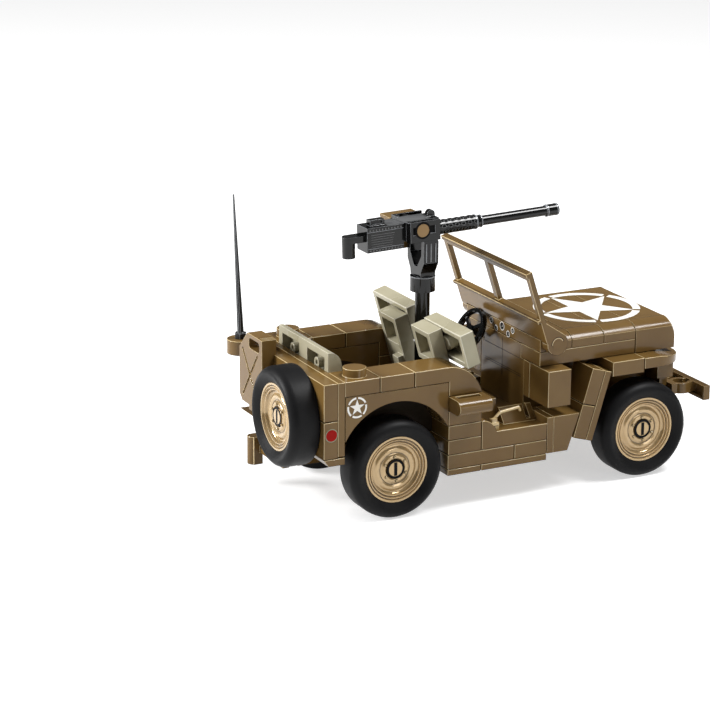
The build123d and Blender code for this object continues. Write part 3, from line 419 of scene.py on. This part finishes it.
def finished(node, width, segments):
    """Makes a copy of a node's mesh with rounded edges, painted light and shade on them, which stands for
    the node.
    """
    bm = bmesh.new()
    bm.from_mesh(frame["nodes"][node].data)
    bmesh.ops.remove_doubles(bm, verts=bm.verts, dist=WELD)
    bmesh.ops.dissolve_limit(
        bm, angle_limit=FLAT_ANGLE, verts=bm.verts, edges=bm.edges, use_dissolve_boundaries=False,
    )
    for face in bm.faces:
        face.material_index = 0
    edges = [
        e for e in bm.edges if len(e.link_faces) == 2 and e.calc_face_angle(0) > SHARP_ANGLE
    ]
    made = bmesh.ops.bevel(
        bm, geom=edges, offset=width * MM, offset_type="OFFSET", affect="EDGES",
        segments=segments, profile=0.5, material=-1, clamp_overlap=True, loop_slide=True,
    )
    # Bevel faces that look down or forward get painted shade, the others a painted highlight
    for face in made["faces"]:
        n = face.normal
        shaded = n.z < LOOKS_DOWN or (n.x > LOOKS_FORWARD and abs(n.z) < NEARLY_LEVEL)
        face.material_index = 2 if shaded else 1
    for v in bm.verts:
        v.co = Vector([min(max(v.co[i], cad_box[0][i]), cad_box[1][i]) for i in range(3)])
    slot = slot_of[node]
    piece = object_of(node + "_finish", bm, SLOTS[slot], body_of[node], sharp=50)
    soften = piece.modifiers.new("soften", "WEIGHTED_NORMAL")
    soften.keep_sharp = True
    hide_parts(node)


print("edge widths", {slot: width for slot, (width, segments) in EDGES.items()}, "mm")

# %% [markdown]
# ## Every brick
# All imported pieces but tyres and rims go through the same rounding, whatever their shape, as
# all bricks come out of the same kind of mould. Finishing them one by one would allow more
# care for each, but their gloss and edges would no longer match where bricks meet.
# %% Every brick
wheel_nodes = [node for node in frame["nodes"] if slot_of[node] == "tyre" or node.endswith("rim")]
for node in frame["nodes"]:
    if node not in wheel_nodes:
        finished(node, *EDGES[slot_of[node]])
report("_finish")

# %% [markdown]
# ## Wheel profiles
# A toy tyre is a plain band with round shoulders, and the rim inside it is a stepped disc
# with a hollow for the pin. Both are round about one axis, so all there is to draw is half a
# cross-section: corners of (depth behind the sidewall, radius), in millimetres. A stack of
# cylinders could show the steps as well, but not the soft curves between them.
# %% Wheel profiles
TYRE = (
    (1.0, 7.2), (0.55, 7.9), (0.2, 8.6), (0.05, 9.05), (0.12, 9.4), (0.4, 9.85), (0.85, 10.25),
    (1.4, 10.52), (2.0, 10.6), (6.0, 10.6), (6.3, 10.5), (6.4, 10.25), (6.4, 7.2),
)
RIM = (
    (1.3, 7.2), (1.02, 7.12), (1.0, 6.95), (1.02, 6.72), (1.4, 6.6), (1.45, 6.48), (1.15, 6.38),
    (1.12, 6.2), (1.5, 6.08), (1.62, 5.92), (1.35, 5.78), (1.35, 5.62), (1.85, 5.45),
    (2.1, 5.15), (2.1, 4.85), (1.85, 4.6), (1.7, 4.25), (1.72, 3.9), (1.9, 3.6), (1.95, 3.3),
    (1.7, 3.05), (1.6, 2.8), (1.6, 2.3), (1.75, 2.12), (3.5, 2.1), (3.5, 1.65), (5.6, 1.65),
    (5.6, 7.2),
)
TYRE_STEPS, RIM_STEPS = 96, 80
SIDEWALL = 20.8  # from the car's middle plane
AXLE_Z = -20.55
REAR_AXLE, FRONT_AXLE = 16.8, 77.2
HUBS = {
    # middle of the sidewall, and the way that it faces
    "rear_left": (place(REAR_AXLE, SIDEWALL, AXLE_Z), Y),
    "rear_right": (place(REAR_AXLE, -SIDEWALL, AXLE_Z), -Y),
    "front_left": (place(FRONT_AXLE, SIDEWALL, AXLE_Z), Y),
    "front_right": (place(FRONT_AXLE, -SIDEWALL, AXLE_Z), -Y),
    "spare": (place(-6.5, -8.0, -9.35), -X),
}
print("wheelbase", round(FRONT_AXLE - REAR_AXLE, 1), "mm")

# %% [markdown]
# ## Turning the wheels
# The profile is spun a full turn about the hub, as on a lathe. The spin merges its last step
# into its first, because otherwise a hair-thin seam would catch the light. The six bolts are
# moulded on, so they are small spheres sunk in the rim's own mesh and turn with it.
# %% Turning the wheels
BOLT_ANGLES = [radians(95 + 60 * k) for k in range(6)]
BOLT_CIRCLE = 2.62
BOLT_DEPTH = 1.48
BOLT_RADIUS = 0.25
STILL = (0, 0, 0)  # a spin that doesn't move along its axis


def turned(profile, hub, outward, steps):
    """A closed ring turned round a hub from (depth, radius) corners."""
    bm = bmesh.new()
    corners = [bm.verts.new(hub + (Z * r - outward * d) * MM) for d, r in profile]
    edges = [bm.edges.new((a, b)) for a, b in zip(corners, corners[1:] + corners[:1])]
    bmesh.ops.spin(
        bm, geom=corners + edges, cent=hub, axis=outward, dvec=STILL, angle=2 * pi,
        steps=steps, use_merge=True, use_duplicate=False,
    )
    bmesh.ops.recalc_face_normals(bm, faces=bm.faces)
    return bm


for wheel, (hub, outward) in HUBS.items():
    bm = turned(TYRE, hub, outward, TYRE_STEPS)
    tyre = object_of(wheel + "_tyre_finish", bm, [rubber], body_of[wheel + "_tyre"])
    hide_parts(wheel + "_tyre")
    bm = turned(RIM, hub, outward, RIM_STEPS)
    side = Z.cross(outward)
    for a in BOLT_ANGLES:
        on_circle = side * cos(a) * BOLT_CIRCLE + Z * sin(a) * BOLT_CIRCLE
        spot = hub + (on_circle - outward * BOLT_DEPTH) * MM
        ball = bmesh.ops.create_uvsphere(
            bm, u_segments=10, v_segments=8, radius=BOLT_RADIUS * MM, matrix=Matrix.Translation(spot),
        )
        # The bolts take the pale tan of the edges: a painted highlight
        for v in ball["verts"]:
            for face in v.link_faces:
                face.material_index = 1
    rim = object_of(
        wheel + "_rim_finish", bm, [pearl, tan_painted_highlight], body_of[wheel + "_rim"], sharp=60,
    )
    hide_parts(wheel + "_rim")
report("_rim_finish")

# %% [markdown]
# ## How prints are laid
# Stars, dials and reflectors are printed on the finished bricks. An image texture or a mask in
# the material would need its place worked out on every brick that it crosses. A flat sheet
# lies a hair above the plastic instead, keeps a crisp edge at any size, and goes along when
# its body moves. Each shape is drawn flat in millimetres, and one matrix turns it to the face
# that it is printed on.
# %% How prints are laid
PRINT_LIFT = 0.03


def sheet_of(name, shape, centre, across, upward, material, body="car", lift=PRINT_LIFT):
    """Lays a flat shape round a centre, along two directions of its own."""
    outward = across.cross(upward).normalized()
    turn = Matrix((across, upward, outward)).transposed().to_4x4()
    spot = Matrix.Translation(centre + outward * lift * MM)
    bmesh.ops.transform(shape, matrix=spot @ turn @ Matrix.Scale(MM, 4), verts=shape.verts)
    shape.normal_update()
    inward = [face for face in shape.faces if face.normal.dot(outward) < 0]
    bmesh.ops.reverse_faces(shape, faces=inward)
    object_of(name, shape, [material], body)


print("prints lie", PRINT_LIFT, "mm above the plastic")

# %% [markdown]
# ## Shapes of the prints
# All prints are stars, rings, discs and plain patches. A star is one kite of four corners and
# four turned copies of it, and a ring is a short edge swept round, as with a compass. Corners
# could be worked out one by one, but the operators leave fewer sums to get wrong.
# %% Shapes of the prints
STAR_WAIST = 0.382  # where the straight lines between five points cross
ARC_STEPS = 12
JOIN = 0.001  # mm between corners that are one
MIDDLE = (0, 0, 0)


def patch(*corners):
    """One flat face with the given corners."""
    bm = bmesh.new()
    bm.faces.new([bm.verts.new((u, v, 0)) for u, v in corners])
    return bm


def panel(u0, u1, v0, v1):
    """One flat face with square corners."""
    return patch((u0, v0), (u1, v0), (u1, v1), (u0, v1))


def disc(radius):
    """One round flat face."""
    bm = bmesh.new()
    bmesh.ops.create_circle(bm, cap_ends=True, segments=32, radius=radius)
    return bm


def star(reach, start=90):
    """A flat star whose first point lies at the start angle."""
    waist = reach * STAR_WAIST
    tips = [(radians(start + step), r) for step, r in ((-36, waist), (0, reach), (36, waist))]
    bm = patch((0, 0), *[(r * cos(a), r * sin(a)) for a, r in tips])
    bmesh.ops.spin(
        bm, geom=[*bm.verts, *bm.edges, *bm.faces], cent=MIDDLE, axis=Z, dvec=STILL,
        angle=radians(4 * 72), steps=4, use_duplicate=True,
    )
    bmesh.ops.remove_doubles(bm, verts=bm.verts, dist=JOIN)
    return bm


def arcs(outer, inner, gap, start=90, count=5):
    """A flat ring in pieces, with gaps in degrees between them."""
    bm = bmesh.new()
    for k in range(count):
        first = radians(start + 360 / count * k + gap / 2)
        ends = [bm.verts.new((r * cos(first), r * sin(first), 0)) for r in (inner, outer)]
        bmesh.ops.spin(
            bm, geom=[*ends, bm.edges.new(ends)], cent=MIDDLE, axis=Z, dvec=STILL,
            angle=radians(360 / count - gap), steps=ARC_STEPS,
        )
    bmesh.ops.remove_doubles(bm, verts=bm.verts, dist=JOIN)
    return bm


print("a whole ring has", 5 * ARC_STEPS, "steps")

# %% [markdown]
# ## Stars and reflectors
# The hood has a white star in a ring that is broken between its points, as a stencil leaves
# it, and each side wall has a small one. One star shape serves all three, in other sizes. Its
# start angle points the hood's star to the windshield and the others straight up. The red
# reflectors are printed at the rear corners.
# %% Stars and reflectors
WALL_FACE = 19.9
hood_middle = place(74.0, 0, 2.3)
sheet_of("hood_star", star(10.4, start=-90), hood_middle, -Y, X, white)
sheet_of("hood_star_ring", arcs(11.8, 10.1, 6, start=-90), hood_middle, -Y, X, white)
for side, sign in SIDES:
    across = -sign * X
    spot = place(7.5, sign * WALL_FACE, -5.7)
    sheet_of(side + "_side_star", star(1.75), spot, across, Z, white)
    sheet_of(side + "_side_star_ring", arcs(2.25, 1.85, 12), spot, across, Z, white)
    spot = place(1.7, sign * WALL_FACE, -10.9)
    sheet_of(side + "_reflector_rim", arcs(1.42, 1.25, 0), spot, across, Z, sage)
    sheet_of(side + "_reflector", disc(1.26), spot, across, Z, red)
report("_star")

# %% [markdown]
# ## Dials
# The instruments are one printed tile on the dash: five black faces with a white ring and a
# short hand. Modelled instruments would be finer than the toy itself. Three sheets lie on
# each other, each a little higher than the last, because sheets at one height would flicker.
# %% Dials
DASH_FACE = 52.9
DIALS = (
    # across the car, height, radius
    (5.07, 0.75, 0.78), (2.94, -0.5, 0.72), (0.35, 0.62, 0.98), (-2.32, -0.5, 0.75),
    (-4.21, 0.75, 0.72),
)
RING_WIDTH = 0.17

for k, (y, z, r) in enumerate(DIALS):
    spot = place(DASH_FACE, y, z)
    hand = patch((-0.09, -0.2), (0.09, -0.2), (0.3, r * 0.6))
    sheet_of(f"dial_face_{k}", disc(r), spot, -Y, Z, ink_and_painted_shade)
    sheet_of(f"dial_ring_{k}", arcs(r, r - RING_WIDTH, 0), spot, -Y, Z, white, lift=0.05)
    sheet_of(f"dial_hand_{k}", hand, spot, -Y, Z, white, lift=0.06)
sheet_of(
    "lamp_plate_dash", panel(-0.5, 0.5, -0.15, 0.15), place(-1.4, 13.2, -12.95), -Y, Z, red,
)
report("dial_")

# %% [markdown]
# ## Rim lines and pins
# Each rim has moulded steps, and in its middle the end of the axle pin: a black ring round a
# pearl face with a slot of painted shade. The steps are there in the turned profile, but they
# are too fine for their shade to show, so thin rings of painted shade are laid in them, with
# painted shade round each bolt. They ride on the rim's own body and so turn with the wheel.
# %% Rim lines and pins
RIM_LINES = ((6.54, 1.4), (6.0, 1.54), (5.52, 1.72), (3.45, 1.93))  # radius, depth
HALF_LINE = 0.07
PIN_DEPTH = 1.5
BOLT_SHADE = 0.37  # a little more than the bolt


def bolt_shades():
    """Six small round faces of painted shade, one under each bolt."""
    bm = bmesh.new()
    for a in BOLT_ANGLES:
        under_bolt = Matrix.Translation((BOLT_CIRCLE * cos(a), BOLT_CIRCLE * sin(a), 0))
        first_corner = Matrix.Rotation(radians(90), 4, "Z")
        bmesh.ops.create_circle(
            bm, cap_ends=True, segments=14, radius=BOLT_SHADE, matrix=under_bolt @ first_corner,
        )
    return bm


for wheel, (hub, outward) in HUBS.items():
    spot = hub - outward * PIN_DEPTH * MM
    side = Z.cross(outward)
    body = body_of[wheel + "_rim"]
    # Rings of painted shade in the rim's steps
    for k, (r, depth) in enumerate(RIM_LINES):
        line = arcs(r + HALF_LINE, r - HALF_LINE, 0)
        floor_of_step = hub - outward * depth * MM
        sheet_of(f"{wheel}_rim_line_{k}", line, floor_of_step, side, Z, pearl_painted_shade, body)
    sheet_of(wheel + "_bolt_shades", bolt_shades(), spot, side, Z, pearl_painted_shade, body, lift=-0.06)
    sheet_of(wheel + "_pin_ring", arcs(2.08, 1.55, 0), spot, side, Z, ink_and_painted_shade, body, lift=0.03)
    sheet_of(wheel + "_pin_face", disc(1.56), spot, side, Z, pearl, body, lift=0.05)
    # The slot is a patch of painted shade
    slot_shape = panel(-0.38, 0.38, -1.45, 1.45)
    sheet_of(wheel + "_pin_slot", slot_shape, spot, side, Z, ink_and_painted_shade, body, lift=0.07)
report("_rim_line_")

# %% [markdown]
# ## How small raised work is made
# Ribs, clips, knobs and rivets stand a tenth of a millimetre or so off the bricks. They could
# be bump in a material, but bump has no outline and the mesh would lack them. Here they are
# cubes set to their corners and bevelled, and cones with two equal ends for rods. A place
# function bends no shape: it only says in which frame the corners are read.
# %% How small raised work is made
SOFT_EDGE = 0.05
ROD_SIDES = 20


def pieces(
    name, material, body, boxes=(), rods=(), where=place, soft=SOFT_EDGE, sides=ROD_SIDES,
):
    """Makes blocks (x0, x1, y0, y1, z0, z1) and rods (start, end, radius) as one piece."""
    bm = bmesh.new()
    for x0, x1, y0, y1, z0, z1 in boxes:
        for v in bmesh.ops.create_cube(bm, size=1.0)["verts"]:
            u = v.co + Vector((0.5, 0.5, 0.5))
            v.co = where(x0 + (x1 - x0) * u.x, y0 + (y1 - y0) * u.y, z0 + (z1 - z0) * u.z)
    if soft and boxes:
        bmesh.ops.bevel(
            bm, geom=list(bm.edges), offset=soft * MM, offset_type="OFFSET", affect="EDGES",
            segments=2, profile=0.5, material=-1, clamp_overlap=True,
        )
    for start, end, radius in rods:
        a, b = where(*start), where(*end)
        turn = (b - a).to_track_quat("Z", "Y").to_matrix().to_4x4()
        bmesh.ops.create_cone(
            bm, cap_ends=True, segments=sides, radius1=radius * MM, radius2=radius * MM,
            depth=(b - a).length, matrix=Matrix.Translation((a + b) / 2) @ turn,
        )
    # A mirrored block is inside out. Its stored directions are refreshed before they are mended.
    bm.normal_update()
    bmesh.ops.recalc_face_normals(bm, faces=bm.faces)
    object_of(name, bm, [material], body)


print("edges softened by", SOFT_EDGE, "mm, rods with", ROD_SIDES, "sides")

# %% [markdown]
# ## Wheel arches
# Behind each rear wheel the load bed is closed, and one sees an inner wall in deep shade
# through the arch. The brick with the arch could carry that wall, but it is open right through
# in the imported model. A thin liner inside each side wall closes it without changing a solid,
# and its dark brown is painted shade.
# %% Wheel arches
# A dark liner of painted shade
pieces("arch_liners", painted_brown_shade, "car", [
    (4.9, 28.7, sign * 12.15, sign * 12.75, -15.9, -5.2) for sign in (1, -1)
])
report("arch_liners")

# %% [markdown]
# ## Windshield
# The frame is moulded with fine steps along its top rail and its ledge, whose shade shows as
# dark lines. Real steps of a tenth of a millimetre would look the same and cost many faces, so
# the lines are strips of painted shade on the rail, written in the windshield's own frame. Round
# the ear, on which the frame folds, an arc of painted shade and one of painted highlight draw
# the rim of the disc.
# %% Windshield
HALF_RAIL = 18.3
HALF_OPENING = 17.2
RAIL_STEPS = (-0.85, -0.45, -0.05)
EAR_FACE = 18.65

# Strips of painted shade where the rail steps
pieces("screen_grooves", painted_brown_shade, "windshield", [
    (out, out + 0.12, -HALF_RAIL, HALF_RAIL, 17.05, 17.09) for out in RAIL_STEPS
] + [
    (0.34, 0.37, -HALF_RAIL, HALF_RAIL, 16.5, 16.6),
    (0.69, 0.72, -HALF_RAIL, HALF_RAIL, 5.62, 5.72),
    (0.2, 0.3, -HALF_OPENING, HALF_OPENING, 6.05, 6.09),
    (0.45, 0.55, -HALF_OPENING, HALF_OPENING, 6.05, 6.09),
], where=screen_place, soft=0)
for side, sign in SIDES:
    across = -sign * X
    ear = place(55.6, sign * EAR_FACE, 1.2)
    # Both arcs lie on the upper half of the disc, which the lamps reach
    shade = arcs(1.6, 1.42, 190, start=-78, count=1)
    glint = arcs(1.42, 1.22, 200, start=-73, count=1)
    # An arc of painted shade and one of painted highlight
    sheet_of(side + "_ear_groove", shade, ear, across, Z, painted_brown_shade, "windshield")
    sheet_of(side + "_ear_glint", glint, ear, across, Z, tan_painted_highlight, "windshield")
    pieces(side + "_ear_knob", tan, "windshield", rods=[
        ((55.2, sign * 18.6, 1.0), (55.2, sign * 18.72, 1.0), 0.85),
    ])
report("screen_grooves")

# %% [markdown]
# ## Dash seams
# Below the dials the dash is built of several bricks, and where they meet runs a fine dark
# gap. The imported panel is one solid, so its seams are strips of painted shade that barely
# stand out of it.
# %% Dash seams
SEAM_FRONT, SEAM_BACK = 52.87, 52.92
# Strips of painted shade where the bricks meet
pieces("dash_seams", painted_brown_shade, "car", [
    # one upright seam in the middle, then three across
    (SEAM_FRONT, SEAM_BACK, 0.0, 0.1, -10.4, -1.7),
    (SEAM_FRONT, SEAM_BACK, -8.0, 7.8, -8.15, -8.05),
    (SEAM_FRONT, SEAM_BACK, -8.0, 7.8, -8.6, -8.5),
    (SEAM_FRONT, SEAM_BACK, -9.2, 9.2, -4.6, -4.5),
], soft=0)
report("dash_seams")

# %% [markdown]
# ## Sill clips
# In the dished sill of each door opening sits a small clip that holds a bent rod, like a tool
# stowed on the real car. A swept curve would give the rod smooth bends. At half a millimetre
# across, three straight rods that run into each other look the same. Clip and rod are drawn in
# the pale colour of a painted highlight, with a line of painted shade along the clip.
# %% Sill clips
for side, sign in SIDES:
    inner, outer = sign * 17.3, sign * 18.5
    step = sign * 0.2
    # Clip and rod in the pale colour of a painted highlight
    pieces(side + "_sill_clip", tan_painted_highlight, "car", [
        # foot and jaw of the clip, then the rod: up, along and down
        (39.8, 41.8, inner, outer, -15.9, -14.2),
        (40.1, 41.4, inner + step, outer - step, -14.2, -13.4),
    ], [
        ((41.0, sign * 17.4, -13.8), (42.6, sign * 17.2, -12.5), 0.32),
        ((42.6, sign * 17.2, -12.5), (47.4, sign * 16.8, -12.1), 0.34),
        ((47.4, sign * 16.8, -12.1), (47.9, sign * 16.6, -13.0), 0.3),
    ], soft=0.12)
    hair = sign * 0.02
    # A line of painted shade along the clip
    pieces(side + "_sill_groove", painted_brown_shade, "car", [
        (40.0, 41.6, outer - hair, outer + hair, -14.95, -14.85),
    ], soft=0)
report("_sill_clip")

# %% [markdown]
# ## Fuel can, bumper and headlamps
# The can's shoulder is ribbed like pressed steel, the bumper has fine lines along its top, and
# each headlamp has a lens. All three are small trim on solids that are already right, so
# strips and short rods are enough. The ribs are pale strips of painted highlight with painted
# shade between them, and the bumper's lines are painted shade.
# %% Fuel can, bumper and headlamps
CAN_REAR, CAN_FRONT = -2.5, 0.4
CAN_TOP = 3.28
HALF_BUMPER = 19.6

# Pale ribs of painted highlight
pieces("can_ribs", tan_painted_highlight, "car", [
    (CAN_REAR, CAN_FRONT, y, y + 0.16, CAN_TOP, CAN_TOP + 0.1) for y in (4.5, 5.1, 5.7)
], soft=0.04)
# Painted shade between the ribs
pieces("can_grooves", painted_brown_shade, "car", [
    (CAN_REAR, CAN_FRONT, y, y + 0.12, CAN_TOP, CAN_TOP + 0.04) for y in (4.8, 5.4, 6.0)
], soft=0)
# Lines of painted shade along the bumper
pieces("bumper_grooves", painted_brown_shade, "car", [
    (x, x + 0.1, -HALF_BUMPER, HALF_BUMPER, -12.82, -12.78) for x in (92.7, 93.1, 93.5)
], soft=0)
pieces("lamp_lenses", glass, "car", rods=[
    ((87.6, sign * 10.2, -10.2), (87.95, sign * 10.2, -10.2), 1.95) for sign in (1, -1)
])
report("_grooves")

# %% [markdown]
# ## Gun body
# The toy gun is one solid moulding with ribs, rivets and cover plates on it, and nothing in it
# works. Black on black hides such detail, so ribs, rivets and cover plates are painted grey and
# the long edges pale: painted highlights, as they are on glossy plastic. All are written square
# and tipped by the place function, so they stay true to the moulding.
# %% Gun body
HALF_GUN = 2.4
RIB_HEIGHT, RIVET_HEIGHT, FRAME_HEIGHT = 0.07, 0.1, 0.06
RIBS, RIB_PITCH = 6, 0.5
RIVETS, RIVET_PITCH = 11, 0.72
RIVET_ROWS = (1.05, -3.3)
FRAME_ROWS = (0.62, -2.95)
ribs = []
rivets = []
for sign in (1, -1):
    face = sign * HALF_GUN
    for k in range(RIBS):
        low = -2.55 + RIB_PITCH * k
        ribs.append((-11.2, -6.3 + 0.12 * k, face, face + sign * RIB_HEIGHT, low, low + 0.13))
    for k in range(RIVETS):
        x = -11.4 + RIVET_PITCH * k
        for z in RIVET_ROWS:
            rivets.append(((x, face, z), (x, face + sign * RIVET_HEIGHT, z), 0.19))

# Grey ribs, rivets and cover plates: painted highlights on the black moulding
pieces("gun_ribs", gun_painted_highlight, "gun", ribs, where=gun_place, soft=0.03)
pieces("gun_rivets", gun_painted_highlight, "gun", rods=rivets, where=gun_place, sides=10)
pieces("gun_cover", gun_painted_highlight, "gun", [
    (-7.1, -3.5, -2.2, 2.2, 1.55, 1.68), (-3.5, 3.0, -2.2, 2.2, 1.7, 1.83),
], where=gun_place, soft=0.04)
# Pale strips of painted highlight along the long edges
pieces("gun_side_frame", black_painted_highlight, "gun", [
    (-12.0, -3.6, sign * HALF_GUN, sign * (HALF_GUN + FRAME_HEIGHT), z, z + 0.12)
    for sign in (1, -1) for z in FRAME_ROWS
], where=gun_place, soft=0.03)
print("ribs", len(ribs), "rivets", len(rivets))

# %% [markdown]
# ## Gun pin
# A tan pin goes through the cheeks of the gun and carries it in its fork. Its head is a
# separate brick, so a ring of shade and a slot beside it set it off from the black. Flat
# shades do that better than a real gap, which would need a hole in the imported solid.
# %% Gun pin
along = Vector((cos(GUN_TIP), 0, sin(GUN_TIP)))
lifted = Vector((-sin(GUN_TIP), 0, cos(GUN_TIP)))
for side, sign in SIDES:
    across = -sign * along
    u0, u1 = sorted((sign * 2.3, -sign * 2.9))
    slot_shape = panel(u0, u1, -0.78, 0.78)
    sheet_of(side + "_pin_slot_shade", slot_shape, gun_place(0, sign * 4.1, 0), across, lifted, ink_and_painted_shade, "gun")
    sheet_of(side + "_pin_shade", disc(1.85), gun_place(0, sign * 4.4, 0), across, lifted, ink_and_painted_shade, "gun")
    pieces(side + "_pin_head", tan_light, "gun", rods=[
        ((0, sign * 4.3, 0), (0, sign * 4.5, 0), 1.4),
    ], where=gun_place, sides=32)
report("_pin_head")

# %% [markdown]
# ## Barrel jacket
# The rear of the barrel wears a jacket with rows of oval holes. Cutting them out would thin
# the wall to nothing at this size. Each hole is an oval of painted shade on a slightly larger
# grey one, a painted highlight for the bright rim of the hole. Every second row is set off by
# half a pitch.
# %% Barrel jacket
BARREL_Z = -1.15
HOLE_ROWS = {
    # degrees round the barrel: how far the row is set off
    62: 0, 18: 0.75, -26: 0, 118: 0, 162: 0.75, 206: 0,
}
HOLES_IN_ROW, HOLE_PITCH = 6, 1.55
FIRST_HOLE = 5.9  # ahead of the pin
hole_rims, holes = bmesh.new(), bmesh.new()
OVALS = (
    # distance from the barrel's middle, half length, half width
    (hole_rims, 1.57, 0.58, 0.42), (holes, 1.61, 0.42, 0.26),
)

for degrees, offset in HOLE_ROWS.items():
    radial = lifted * sin(radians(degrees)) - Y * cos(radians(degrees))
    around = along.cross(radial)
    for k in range(HOLES_IN_ROW):
        middle = gun_place(FIRST_HOLE + HOLE_PITCH * k + offset, 0, BARREL_Z)
        for bm, r, long, wide in OVALS:
            oval = Matrix((around * wide, along * long, radial)).transposed().to_4x4()
            spot = Matrix.Translation(middle + radial * r * MM)
            bmesh.ops.create_circle(
                bm, cap_ends=True, segments=14, radius=1, matrix=spot @ oval @ Matrix.Scale(MM, 4),
            )
# Grey rims of painted highlight, dark ovals of painted shade
object_of("jacket_hole_rims", hole_rims, [gun_painted_highlight], "gun")
object_of("jacket_holes", holes, [ink_and_painted_shade], "gun")
report("jacket_holes")

# %% [markdown]
# ## Barrel rings and fork
# A ring ends the jacket, another sits behind it and two are on the muzzle, and the fork has
# upright ribs and a collar. On glossy black only their edges catch light, so they are thin
# bands and strips of painted highlight on the solids.
# %% Barrel rings and fork
POST_X = 32.95
RINGS = ((14.6, 1.62), (15.9, 1.4), (32.3, 1.36), (34.6, 1.36))  # along the barrel, radius
# Pale bands and strips of painted highlight
pieces("barrel_rings", black_painted_highlight, "gun", rods=[
    ((x, 0, BARREL_Z), (x + 0.22, 0, BARREL_Z), r) for x, r in RINGS
], where=gun_place, sides=32)
pieces("fork_ribs", black_painted_highlight, "gun_mount", [
    (POST_X + x, POST_X + x + 0.25, sign * 3.68, sign * 3.82, 18.2, 22.2)
    for sign in (1, -1) for x in (-1.3, -0.2, 0.9)
], soft=0.04)
pieces("collar_ring", black_painted_highlight, "gun_mount", rods=[
    ((POST_X, 0, 14.3), (POST_X, 0, 14.45), 2.74),
], sides=40)
report("_ring")

# %% [markdown]
# ## Floor
# The toy stands on a pale sheet that goes on past the view, so no edge of it shows. More lamp
# light would whiten it, but the toy would bleach first. Instead the sheet glows a little for
# rays from the camera and for reflections only. It still takes the toy's shadow, and the glow
# itself lights nothing.
# %% Floor
FLOOR_REACH = 8
FLOOR_GREY = 0.65
FLOOR_ROUGHNESS = 0.9
FLOOR_GLOW = 0.55

floor_bm = bmesh.new()
bmesh.ops.create_grid(floor_bm, x_segments=1, y_segments=1, size=FLOOR_REACH)
floor_mesh = bpy.data.meshes.new("floor")
floor_bm.to_mesh(floor_mesh)
floor_bm.free()
floor = bpy.data.objects.new("floor", floor_mesh)
scene.collection.objects.link(floor)
# Matt paper: an even pale grey that keeps a soft shadow
paper = bpy.data.materials.new("pale_floor")
paper.use_nodes = True
tree = paper.node_tree
tree.nodes.clear()
path = add(tree, "ShaderNodeLightPath")
seen = path.outputs["Is Camera Ray"]
for ray in ("Is Glossy Ray", "Is Transmission Ray"):
    seen = add(tree, "ShaderNodeMath", {"operation": "MAXIMUM"}, {
        0: seen, 1: path.outputs[ray],
    }).outputs[0]
level = add(tree, "ShaderNodeMath", {"operation": "MULTIPLY"}, {0: seen, 1: FLOOR_GLOW})
sheet = add(tree, "ShaderNodeBsdfPrincipled", inputs={
    "Base Color": (FLOOR_GREY, FLOOR_GREY, FLOOR_GREY, 1), "Roughness": FLOOR_ROUGHNESS,
    "Emission Color": (1, 1, 1, 1), "Emission Strength": level.outputs[0],
})
add(tree, "ShaderNodeOutputMaterial", inputs={"Surface": sheet.outputs[0]})
floor_mesh.materials.append(paper)
print("floor nodes", len(tree.nodes))
